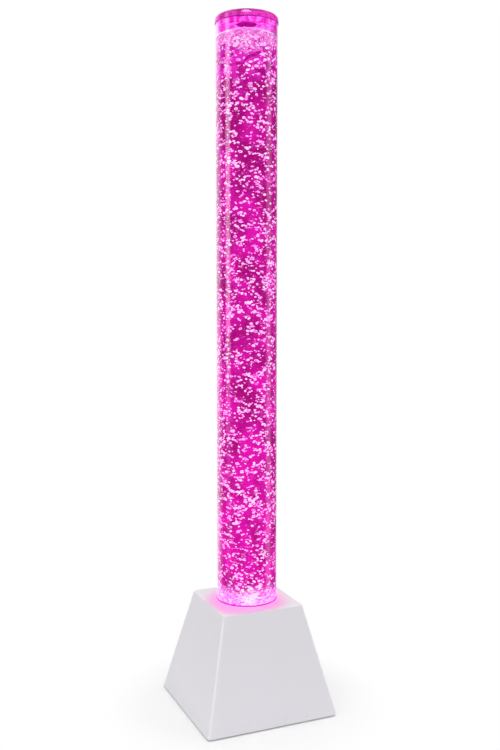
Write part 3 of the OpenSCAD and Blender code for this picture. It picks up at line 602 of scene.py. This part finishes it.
class LAMP_OT_glow(bpy.types.Operator):
    """Build the lit heart of the water"""
    bl_idname = "bubble_lamp.glow"
    bl_label = "Lit water"

    def execute(self, context):
        s = context.scene.lamp_glow
        r = WATER_R - s.depth
        low = DISC_HIGH.z + 0.003
        top = WATER_TOP - 0.009
        shoulder = r - 0.003
        side = [(r, z) for z in np.linspace(low + 0.004, top - 0.004, 260)]
        profile = [(0, low), (r * 0.5, low), (shoulder, low), *side,
                   (shoulder, top), (r * 0.5, top), (0, top)]

        def lumps(x, y, z):
            """Each point moves 0.0006 waves(x, y, z) outwards."""
            push = waves(x, y, z, 0.03, 3) * 0.0006
            away = np.maximum(np.hypot(x, y), 1e-6)
            return np.stack([x / away * push, y / away * push, np.zeros_like(z)], -1)

        points, faces = turned(profile, 96, lumps)
        mesh_piece("lit_water", points, faces, self.finish(s))
        return {"FINISHED"}

    def beam_spot(self, depth):
        """The place on the lit heart where the lamp's beam shows, a little right of the front."""
        r = WATER_R - depth
        return (-r * math.sin(TURN - BEAM_TURN), -r * math.cos(TURN - BEAM_TURN), BASE_TOP + 0.010)

    def finish(self, s):
        """Deep and lit magenta in clouds, with far bubbles as soft spots.

        At the foot come pale swirls, veins and the beam's white patch, and under the surface a
        brighter churn and the deeper ground of the froth.
        """
        made, g = material("lit_water")
        height = g.axis("Z")
        rise = g.ramp(height, BASE_TOP, WATER_TOP)
        cloud = g.ramp(g.noise(30.0, 2.0, (1.0, 1.0, 0.7)) + (0.5 - rise) * 0.11, 0.34, 0.7)
        spots = g.fall(g.cells(210.0, (1.0, 1.0, 1.6)), 0.2, 0.4)
        pick = g.ramp(g.noise(70.0, 2.0), 0.5, 0.62)
        streaks = g.ramp(g.noise(170.0, 2.0, (1.0, 1.0, 2.2), 1.0), 0.56, 0.7)
        colour = g.mix(cloud, s.deep, s.lit)
        colour = g.mix(streaks * 0.3, colour, (0.95, 0.06, 0.62))
        colour = g.mix(spots * pick * 0.6, colour, (1.0, 0.26, 0.86))
        colour = g.mix(rise * 0.11, colour, (0.0, 0.0, 0.02))
        ragged_height = height + (g.noise(45.0, 3.0) - 0.5) * 0.035
        colour = g.mix(g.fall(ragged_height, BASE_TOP + 0.012, BASE_TOP + 0.038), colour, s.foot)
        low = g.fall(height, BASE_TOP + 0.014, BASE_TOP + 0.034)
        swirl = g.ramp(g.noise(60.0, 2.0, (1.0, 1.0, 1.9), 2.5), 0.50, 0.57)
        colour = g.mix(low * swirl * 0.85, colour, PALE_PINK)
        veined = g.ramp(g.noise(80.0, 2.0, (1.0, 1.0, 2.0), 2.5), 0.55, 0.62)
        veins = g.fall(height, BASE_TOP + 0.024, BASE_TOP + 0.042) * veined
        colour = g.mix(veins * 0.85, colour, (0.9, 0.03, 0.68))
        specks = low * g.fall(g.cells(170.0, (1.0, 1.0, 1.5)), 0.14, 0.24) * pick
        colour = g.mix(specks * 0.9, colour, (0.45, 0.0, 0.30))
        ragged = (g.noise(70.0, 3.0, (1.0, 1.0, 1.6), 2.0) - 0.5) * 0.075
        beam = g.fall(g.distance(self.beam_spot(s.depth)) + ragged, 0.008, 0.016)
        colour = g.mix(beam * 0.95, colour, (1.0, 0.99, 1.0))
        churn = g.ramp(height + (g.noise(35.0, 2.0) - 0.5) * 0.06, WATER_TOP - 0.092, WATER_TOP - 0.066)
        swells = g.ramp(g.noise(38.0, 2.0, (1.0, 1.0, 1.4), 1.6), 0.44, 0.54)
        colour = g.mix(churn * swells * 0.85, colour, (0.84, 0.028, 0.62))
        froth = g.ramp(height + (g.noise(60.0, 2.0) - 0.5) * 0.02, WATER_TOP - 0.038, WATER_TOP - 0.028)
        colour = g.mix(froth * 0.85, colour, (0.60, 0.02, 0.43))
        g.surface(Base_Color=(0.08, 0.0, 0.05), Roughness=0.6, Emission_Color=colour,
                  Emission_Strength=s.strength, Specular_IOR_Level=0.0)
        return made


class LAMP_OT_water(bpy.types.Operator):
    """Build the water's surface, from the foot of the tube to the rippled top"""
    bl_idname = "bubble_lamp.water"
    bl_label = "Water"

    def execute(self, context):
        # the side is sunk a little into the tube's wall, so that light passes from one to the other
        r = WATER_R + 0.0001
        gap = 0.0003  # round the air disc
        climb = 0.0015  # of the water's edge up the wall
        inner = DISC_HIGH.x + gap
        roof = DISC_HIGH.z + gap
        low, top = WATER_LOW.z, WATER_TOP - climb
        profile = [(0, roof), (inner * 0.5, roof), (inner, roof), (inner, low), (r, low)]
        profile += [(r, z) for z in np.linspace(low, top + climb, 60)[1:]]
        profile += [(r - 0.0008, top + 0.0006)]
        profile += [(r * k, top) for k in (0.96, 0.9, 0.8, 0.65, 0.5, 0.35, 0.2, 0.08, 0)]

        def ripples(x, y, z):
            """Each point of the upper face moves 0.0008 waves(x, y, z) up."""
            inside = (np.hypot(x, y) < r - 0.001) & (z > low + 0.1)
            lift = np.where(inside, waves(x, y, z, 0.02, 5) * 0.0008, 0.0)
            return np.stack([np.zeros_like(x), np.zeros_like(x), lift], -1)

        points, faces = turned(profile, 128, ripples)
        water = mesh_piece("water_body", points, faces, self.finish())
        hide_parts("water")
        return {"FINISHED"}

    def finish(self):
        """Clear water, stirred by the bubbles."""
        made, g = material("clear_water")
        stir = g.noise(55.0, 3.0)
        tone = g.mix(stir, (1.0, 0.90, 0.99), (1.0, 0.80, 0.97))
        g.surface(Base_Color=tone, Roughness=0.0, IOR=1.33, Transmission_Weight=1.0,
                  Specular_IOR_Level=0.12, Normal=g.bump(stir, 0.002, 0.15))
        return made


class LAMP_OT_bubbles(bpy.types.Operator):
    """Build the air bubbles that rise through the water"""
    bl_idname = "bubble_lamp.bubbles"
    bl_label = "Bubbles"
    SWARMS = (("bubbles_foot", 0.27), ("bubbles_low", 0.25), ("bubbles_middle", 0.24), ("bubbles_high", 0.24))
    RING_SHARE = 0.05
    STREAK_SHARE = 0.045

    def execute(self, context):
        s = context.scene.lamp_bubbles
        finish = self.finish(s)
        depth = context.scene.lamp_glow.depth
        top = WATER_TOP - context.scene.lamp_foam.depth * 0.5
        levels = np.linspace(BASE_TOP - 0.02, top, len(self.SWARMS) + 1)
        for i, (name, share) in enumerate(self.SWARMS):
            draw = np.random.default_rng(s.seed + i)
            count = int(s.count * share)
            place = self.swarm(draw, count, levels[i], levels[i + 1], s, depth)
            points, faces, each = scatter(ball(8, 3), *place, seed=s.seed + 20 + i)
            mesh_piece(name, points, faces, finish, tone=np.repeat(draw.uniform(0, 1, count), each))
        self.rings(s, finish, levels)
        self.streaks(s, finish, levels)
        return {"FINISHED"}

    def swarm(self, draw, count, low, high, s, depth):
        """Angle, distance from the axis, height, half sizes and roll of flattened bubbles.

        A share of them ride in chains. A bubble that is d further along the wall than the first of
        its chain is slope d + bow d^2 above it, give or take 0.5 mm.
        """
        angle = draw.uniform(0, 2 * math.pi, count)
        z = draw.uniform(low, high, count)
        size = np.clip(draw.lognormal(math.log(s.usual), 0.32, count), s.least, s.most)
        r = WATER_R - BUBBLE_INSET - draw.uniform(0, 1, count) ** 0.8 * (depth - 0.0026)
        chain = np.sort(draw.integers(0, count // 3, count))
        first = np.searchsorted(chain, chain)
        step = (np.arange(count) - first) * draw.uniform(0.0027, 0.0042, count)
        slope = draw.normal(0, 0.5, count)[first]
        bow = draw.normal(0, 20.0, count)[first]
        joined = chain < count // 3 * s.joined
        angle = np.where(joined, angle[first] + step / WATER_R, angle)
        z = np.where(joined, z[first] + step * slope + step ** 2 * bow + draw.normal(0, 0.0005, count), z)
        r = np.where(joined, r[first] + draw.normal(0, 0.0004, count), r)
        sizes = size[:, None] * np.stack([draw.uniform(1.0, 1.5, count), draw.uniform(0.2, 0.3, count),
                                          draw.uniform(0.65, 1.0, count)], -1)
        r = np.minimum(r, WATER_R - LEAST_INSET)
        return angle, r, np.clip(z, low, high), sizes, draw.normal(0, 0.3, count)

    def rings(self, s, finish, levels):
        """Bubbles whose bright rim is all that shows of them."""
        draw = np.random.default_rng(s.seed + 50)
        count = int(s.count * self.RING_SHARE)
        size = draw.uniform(0.0011, 0.0021, count)
        r = WATER_R - BUBBLE_INSET - draw.uniform(0, 0.003, count)
        z = draw.uniform(levels[0], levels[-1], count)
        sizes = size[:, None] * np.stack([draw.uniform(1.0, 1.3, count), np.full(count, 0.5),
                                          draw.uniform(0.65, 0.95, count)], -1)
        points, faces, each = scatter(hoop(12, 5, 0.4, 0.08), draw.uniform(0, FULL_TURN, count), r, z, sizes,
                                      draw.normal(0, 0.3, count), seed=s.seed + 51)
        mesh_piece("bubble_rims", points, faces, finish,
                   tone=np.repeat(draw.uniform(0.3, 1, count), each))

    def streaks(self, s, finish, levels):
        """Thin drawn-out bubbles that lie along the wall, more of them low down."""
        draw = np.random.default_rng(s.seed + 60)
        count = int(s.count * self.STREAK_SHARE)
        z = levels[0] + (levels[-1] - levels[0]) * draw.uniform(0, 1, count) ** 1.7
        size = draw.uniform(0.003, 0.0085, count)
        sizes = np.stack([size, np.full(count, 0.0004), draw.uniform(0.00035, 0.0007, count)], -1)
        r = WATER_R - STREAK_INSET - draw.uniform(0, 0.004, count)
        points, faces, each = scatter(ball(6, 5), draw.uniform(0, FULL_TURN, count), r, z, sizes,
                                      draw.normal(0, 0.12, count), seed=s.seed + 61)
        mesh_piece("bubble_streaks", points, faces, finish,
                   tone=np.repeat(draw.uniform(0, 0.6, count), each))

    def finish(self, s):
        """A lit bubble: pale pink, some bubbles whiter, a little uneven inside."""
        made, g = material("lit_bubble")
        tone = g.node("Attribute", {"attribute_name": "tone"}, out="Fac")
        colour = g.mix(g.ramp(tone, 0.0, 0.35), (1.0, 0.16, 0.82), s.colour)
        colour = g.mix(g.ramp(tone, 0.4, 0.9), colour, PALE_PINK)
        colour = g.mix(g.ramp(g.noise(900.0, 1.0), 0.56, 0.7) * 0.3, colour, (0.95, 0.18, 0.80))
        g.surface(Base_Color=(0.3, 0.1, 0.25), Roughness=0.12, Emission_Color=colour,
                  Emission_Strength=1.18, Specular_IOR_Level=0.3)
        return made


class LAMP_OT_foam(bpy.types.Operator):
    """Build the froth at the water's surface and the large bubbles under it"""
    bl_idname = "bubble_lamp.foam"
    bl_label = "Froth"
    BRIM_CELLS = 210
    LARGE_BUBBLES = 46

    def execute(self, context):
        s = context.scene.lamp_foam
        draw = np.random.default_rng(11)
        finish = self.finish(s)
        self.cells("froth", ball(8, 4), draw, s.count, s, finish, 0.62, 31)
        self.cells("froth_rims", hoop(12, 5, 0.24, 0.06), draw, int(s.count * 0.4), s, finish, 1.0, 32)
        self.brim(draw, finish)
        self.large(draw, finish)
        return {"FINISHED"}

    def heap(self, angle):
        """How far the froth climbs the wall: FROTH_HEAP cos^2(angle - a), where a is the camera's side."""
        return FROTH_HEAP * np.cos(angle - math.atan2(TO_CAMERA[1], TO_CAMERA[0])) ** 2

    def cells(self, name, shape, draw, count, s, finish, rim_share, seed):
        """Cells of froth against the wall, thinning downwards, and the rest spread over the surface."""
        angle = draw.uniform(0, 2 * math.pi, count)
        size = np.clip(draw.lognormal(math.log(0.0023), 0.42, count), 0.0010, 0.0048)
        at_wall = np.arange(count) < count * rim_share
        inside = (WATER_R - 0.006) * np.sqrt(draw.uniform(0.0004, 1, count))
        r = np.where(at_wall, WATER_R - 0.001 - size * 0.8 - draw.uniform(0, 0.004, count), inside)
        hang = draw.uniform(0, 1, count) ** 1.2 * s.depth * (0.8 + 0.35 * np.sin(angle * 3 + 1.0))
        spread = WATER_TOP - 0.003 - draw.uniform(0, 0.002, count)
        z = np.where(at_wall, WATER_TOP + self.heap(angle) - 0.0015 - hang, spread)
        sizes = size[:, None] * np.stack([draw.uniform(1.0, 1.5, count), np.full(count, 0.8),
                                          draw.uniform(0.6, 0.9, count)], -1)
        points, faces, each = scatter(shape, angle, r, z, sizes, draw.normal(0, 0.4, count), seed, 0.06)
        mesh_piece(name, points, faces, finish, tone=np.repeat(draw.uniform(0, 1, count), each))

    def brim(self, draw, finish):
        """The pale row of cells where the froth meets the wall at the surface."""
        count = self.BRIM_CELLS
        angle = (np.arange(count) + draw.uniform(-0.3, 0.3, count)) * (2 * math.pi / count)
        sizes = np.stack([draw.uniform(0.0012, 0.0022, count), np.full(count, 0.0008),
                          draw.uniform(0.0009, 0.0013, count)], -1)
        z = WATER_TOP + self.heap(angle) + draw.normal(0, 0.0003, count)
        points, faces, each = scatter(ball(8, 3), angle, np.full(count, WATER_R - STREAK_INSET), z, sizes,
                                      draw.normal(0, 0.15, count), 33, 0.05)
        mesh_piece("froth_brim", points, faces, finish,
                   tone=np.repeat(draw.uniform(0.88, 1, count), each))

    def large(self, draw, finish):
        """The uneven rims of the large bubbles that gather under the froth."""
        count = self.LARGE_BUBBLES
        size = draw.uniform(0.0024, 0.0058, count)
        z = WATER_TOP - 0.034 - draw.uniform(0, 1, count) ** 1.3 * 0.06
        sizes = size[:, None] * np.stack([draw.uniform(0.95, 1.2, count), np.full(count, 0.5),
                                          draw.uniform(0.7, 0.9, count)], -1)
        angle, roll = draw.uniform(0, FULL_TURN, count), draw.uniform(0, 6.28, count)
        points, faces, each = scatter(hoop(24, 6, 0.17, 0.1), angle, np.full(count, WATER_R - LARGE_INSET), z,
                                      sizes, roll, 41, 0.0)
        mesh_piece("large_bubbles", points, faces, finish,
                   tone=np.repeat(draw.uniform(0.2, 0.85, count), each))

    def finish(self, s):
        """Froth: pale pink cells, some whiter, with deeper lines across them."""
        made, g = material("froth")
        tone = g.node("Attribute", {"attribute_name": "tone"}, out="Fac")
        colour = g.mix(g.ramp(tone, 0.0, 0.6), (1.0, 0.14, 0.78), s.colour)
        lines = g.ramp(g.cells(260.0, (1.0, 1.0, 1.4), "DISTANCE_TO_EDGE"), 0.04, 0.13)
        colour = g.mix(lines, (0.50, 0.012, 0.34), colour)
        colour = g.mix(g.ramp(tone, 0.75, 0.95) * 0.8, colour, (1.0, 0.84, 0.99))
        g.surface(Base_Color=(0.3, 0.1, 0.25), Roughness=0.15, Emission_Color=colour,
                  Emission_Strength=0.98, Specular_IOR_Level=0.3)
        return made


class LAMP_OT_cup(bpy.types.Operator):
    """Build the pump's rubber cup, which bends between the valve box and the swinging arm"""
    bl_idname = "bubble_lamp.cup"
    bl_label = "Rubber cup"

    def execute(self, context):
        """The cup is a flat bottom, a cone and a flange, turned round one axis.

        The cone's wall is 1.2 mm thick at the bottom and grows to 2.2 mm at the flange.
        """
        low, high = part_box("diaphragm")
        wide, tall = (high.x - low.x) / 2, high.y - low.y
        flange = tall - 0.003
        edge = 0.0003
        bottom = 0.002
        steps = np.linspace(0, 1, 9)
        outer = [(0.0070 + (wide - 0.0008 - 0.0070) * k, edge + (flange - edge) * k) for k in steps]
        inner = [(wide - 0.003 + (0.0058 - wide + 0.003) * k, tall + (bottom - tall) * k) for k in steps]
        profile = [(0, 0), (0.0035, 0), (0.0066, 0), *outer, (wide - edge, flange), (wide, flange + edge),
                   (wide, tall - edge), (wide - edge, tall), *inner, (0.003, bottom), (0, bottom)]
        points, faces = turned(profile, 64)
        # lying down: its axis runs along Y, from the arm's stud to the valve box
        x, z = (low.x + high.x) / 2, (low.z + high.z) / 2
        points = np.stack([x + points[:, 0], low.y + points[:, 2], z - points[:, 1]], -1)
        finish = rubber("cup_rubber", (0.03, 0.03, 0.033))
        cup = mesh_piece("rubber_cup", points, faces, finish, None)
        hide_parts("diaphragm")
        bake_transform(cup)
        return {"FINISHED"}


class LAMP_OT_finishes(bpy.types.Operator):
    """Give every solid of the lamp its finish"""
    bl_idname = "bubble_lamp.finishes"
    bl_label = "Finishes"

    def execute(self, context):
        s = context.scene.lamp_finish
        inner = plastic("inner_white", (0.80, 0.80, 0.81), 0.5)
        grey = plastic("cover_grey", (0.36, 0.37, 0.39), 0.55, 700.0, 0.00006)
        dark = plastic("dark_plastic", (0.035, 0.035, 0.04), 0.45, 1000.0, 0.00004, 0.15)
        soft = rubber("rubber", (0.03, 0.03, 0.033))
        steel = metal("zinc_steel", (0.62, 0.63, 0.65), 0.32)
        brass = metal("brass", (0.80, 0.60, 0.28), 0.3)
        clear = clear_plastic("clear_tube", s.lustre, s.foot_glow)
        silicone = ((0.72, 0.74, 0.75), 0.3, 400.0, 0.00002, 0.1, 0.3)
        worn = (
            (self.base_finish(tuple(s.base)), "base_shell"),
            (grey, "base_plate coil_bobbin valve_box check_valve_upper button_cap"),
            (steel, "base_screws socket_screws light_screws pump_screws board_screws inlet_pin"
                    " power_inlet_nut button_nut pivot_pin swing_arm"),
            (metal("core_plates", (0.42, 0.43, 0.45), 0.4, (1.0, 1.0, 30.0)), "pump_core"),
            (metal("magnet", (0.22, 0.22, 0.24), 0.55, (1.0, 1.0, 1.0)), "arm_magnet"),
            (winding("copper_wire", (0.80, 0.36, 0.16)), "coil_winding"),
            (brass, "inlet_fitting inlet_nut"),
            (soft, "feet tube_seal socket_gasket inlet_washer pump_mounts valve_flaps check_flap"),
            (inner, "tube_socket check_valve_lower"),
            (clear, "acrylic_tube tube_floor air_disc"),
            (self.cap_finish(s.lustre), "top_cap"),
            (board("light_board", (0.82, 0.82, 0.79), (0.70, 0.70, 0.68)), "light_board"),
            (lit_lens("lit_lens", (1.0, 0.35, 0.85), 3.0), "lights"),
            (dark, "pump_housing pump_cover power_inlet button_bezel switch_body board_parts"),
            (board("control_board", (0.02, 0.17, 0.07), (0.04, 0.27, 0.11)), "control_board"),
            (plastic("silicone_hose", *silicone), "hose_lower"),
            (plastic("silicone_hose_upper", *silicone), "hose_upper"),
            (plastic("lead_sleeve", (0.02, 0.02, 0.022), 0.4, 800.0, 0.00003, 0.2),
             "light_lead pump_lead inlet_lead button_lead"),
        )
        finishes = {name: finish for finish, names in worn for name in names.split()}
        for name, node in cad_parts.items():
            if name in finishes:
                node.data.materials.clear()
                node.data.materials.append(finishes[name])
            elif name not in REPLACED:
                raise RuntimeError("no finish for " + name)
        return {"FINISHED"}

    def base_finish(self, colour):
        """Satin moulded shell: off-white with a fine grain and slightly uneven gloss.

        Its sides carry a painted shade that darkens them towards the top, its corner edges a painted
        highlight, its lower edge faint scuffs, and its top plate a painted pink glow of the lamp's light,
        most on the camera's side of the tube.
        """
        made, g = material("base_white")
        height = g.axis("Z")
        cloud = g.ramp(g.noise(9.0, 3.0), 0.3, 0.7)
        tone = g.mix(cloud, colour, darker(colour, 0.98))
        # painted shade: the sides darken by 4.5 percent from 2 cm up to 19 cm
        tone = g.mix(g.ramp(height, 0.02, 0.19), tone, darker(colour, 0.955))
        plate = g.ramp(height, BASE_TOP - 0.003, BASE_TOP - 0.001)
        tone = g.mix(plate, tone, (0.81, 0.81, 0.83))
        # painted highlight: a paler band along the four corner edges
        off_corner = abs(abs(g.axis("X")) - abs(g.axis("Y")))
        corner = g.fall(off_corner, 0.0008, 0.0038) * g.fall(height, BASE_TOP - 0.004, BASE_TOP - 0.001)
        tone = g.mix(corner * 0.8, tone, (0.90, 0.89, 0.93))
        low = g.fall(height + (g.noise(40.0, 3.0) - 0.5) * 0.02, 0.004, 0.02)
        scuff = low * g.ramp(g.noise(160.0, 3.0, (0.4, 0.4, 1.0)), 0.55, 0.7)
        tone = g.mix(scuff * 0.25, tone, darker(colour, 0.7))
        # painted light: the tube's pink glow on the top plate, centred on the camera's side
        front, left = 0.026, 0.003
        lit_side = (front * TO_CAMERA[0] + left * TO_LEFT[0],
                    front * TO_CAMERA[1] + left * TO_LEFT[1], BASE_TOP)
        painted_pink_glow = g.fall(g.distance(lit_side), 0.054, 0.090) * plate
        tone = g.mix(painted_pink_glow * 0.9, tone, (0.88, 0.45, 0.76))
        gloss = g.ramp(g.noise(35.0, 3.0), 0.3, 0.7) * 0.08 + scuff * 0.15 + 0.4
        g.surface(Base_Color=tone, Roughness=gloss, Specular_IOR_Level=0.35,
                  Normal=g.bump(g.noise(1300.0, 2.0), 0.00003, 0.5))
        return made

    def cap_finish(self, lustre):
        """The cap: clear acrylic that carries the lamp's light in pale blotches.

        The lamp's light is painted into its tint and glow. A painted shade makes it deeper at its side
        and dark at its upper edge, in the recess under its middle, at its lower lip and at the end of its
        collar.
        """
        made, g = material("cap_acrylic")
        height = g.axis("Z")
        away = g.distance(stretch=(1.0, 1.0, 0.0))
        cloud = g.ramp(g.noise(60.0, 3.0, (1.0, 1.0, 0.6), 1.6), 0.44, 0.60)
        # painted shade masks: the upper edge, the side, the recess, the lower lip and the collar's end
        shoulder = g.ramp(height, CAP_HIGH - 0.004, CAP_HIGH - 0.001) * g.ramp(away, 0.045, 0.052)
        side = g.ramp(away, 0.0505, 0.0545)
        under = g.fall(height, TUBE_TOP + 0.0052, TUBE_TOP + 0.006)
        recess = g.fall(away, RECESS_R, RECESS_R + 0.0008) * under
        lip = g.fall(height, TUBE_TOP + 0.0006, TUBE_TOP + 0.0014) * g.ramp(away, 0.0545, 0.0555)
        collar = g.fall(height, CAP_LOW + 0.0006, CAP_LOW + 0.0014)
        # painted light: the lamp's pink glow in pale blotches, deepened at the side by painted shade
        glow = g.mix(cloud, (0.30, 0.02, 0.24), (0.92, 0.46, 0.86))
        glow = g.mix(side, glow, g.mix(cloud, (0.22, 0.006, 0.15), (0.52, 0.03, 0.42)))
        # painted shade, darkening glow and tint at the upper edge, the recess, the lower lip and the collar's
        # end
        dark = shoulder.highest(recess).highest(lip).highest(collar * 0.7)
        glow = g.mix(dark, glow, (0.03, 0.0, 0.02))
        tint = g.mix(cloud, (0.70, 0.07, 0.52), (0.97, 0.52, 0.90))
        tint = g.mix(side, tint, (0.40, 0.02, 0.24))
        tint = g.mix(dark, tint, (0.15, 0.0, 0.08))
        g.surface(Base_Color=tint, Roughness=cloud * 0.02 + 0.02, IOR=1.49, Transmission_Weight=0.6,
                  Specular_IOR_Level=lustre, Emission_Color=glow, Emission_Strength=0.6)
        return made


class LAMP_PT_panel(bpy.types.Panel):
    """The lamp's steps and settings"""
    bl_idname = "LAMP_PT_panel"
    bl_label = "Bubble Lamp"
    bl_space_type = "VIEW_3D"
    bl_region_type = "UI"
    bl_category = "Bubble Lamp"

    def draw(self, context):
        for step in STEPS:
            self.layout.operator(step.bl_idname)
        for name, group in SETTINGS.items():
            box = self.layout.box()
            for prop in group.__annotations__:
                box.prop(getattr(context.scene, name), prop)


STEPS = (LAMP_OT_stage, LAMP_OT_finishes, LAMP_OT_cup, LAMP_OT_glow, LAMP_OT_water, LAMP_OT_bubbles,
         LAMP_OT_foam)
SETTINGS = {
    "lamp_stage": StageSettings,
    "lamp_finish": FinishSettings,
    "lamp_glow": GlowSettings,
    "lamp_bubbles": BubbleSettings,
    "lamp_foam": FoamSettings,
}


def register():
    for group in SETTINGS.values():
        bpy.utils.register_class(group)
    for name, group in SETTINGS.items():
        setattr(bpy.types.Scene, name, PointerProperty(type=group))
    for step in STEPS:
        bpy.utils.register_class(step)
    bpy.utils.register_class(LAMP_PT_panel)


def unregister():
    bpy.utils.unregister_class(LAMP_PT_panel)
    for step in reversed(STEPS):
        bpy.utils.unregister_class(step)
    for name in SETTINGS:
        delattr(bpy.types.Scene, name)
    for group in reversed(list(SETTINGS.values())):
        bpy.utils.unregister_class(group)


def main():
    register()
    bpy.ops.bubble_lamp.stage()
    bpy.ops.bubble_lamp.finishes()
    bpy.ops.bubble_lamp.cup()
    bpy.ops.bubble_lamp.glow()
    bpy.ops.bubble_lamp.water()
    bpy.ops.bubble_lamp.bubbles()
    bpy.ops.bubble_lamp.foam()


if __name__ == "__main__":
    main()
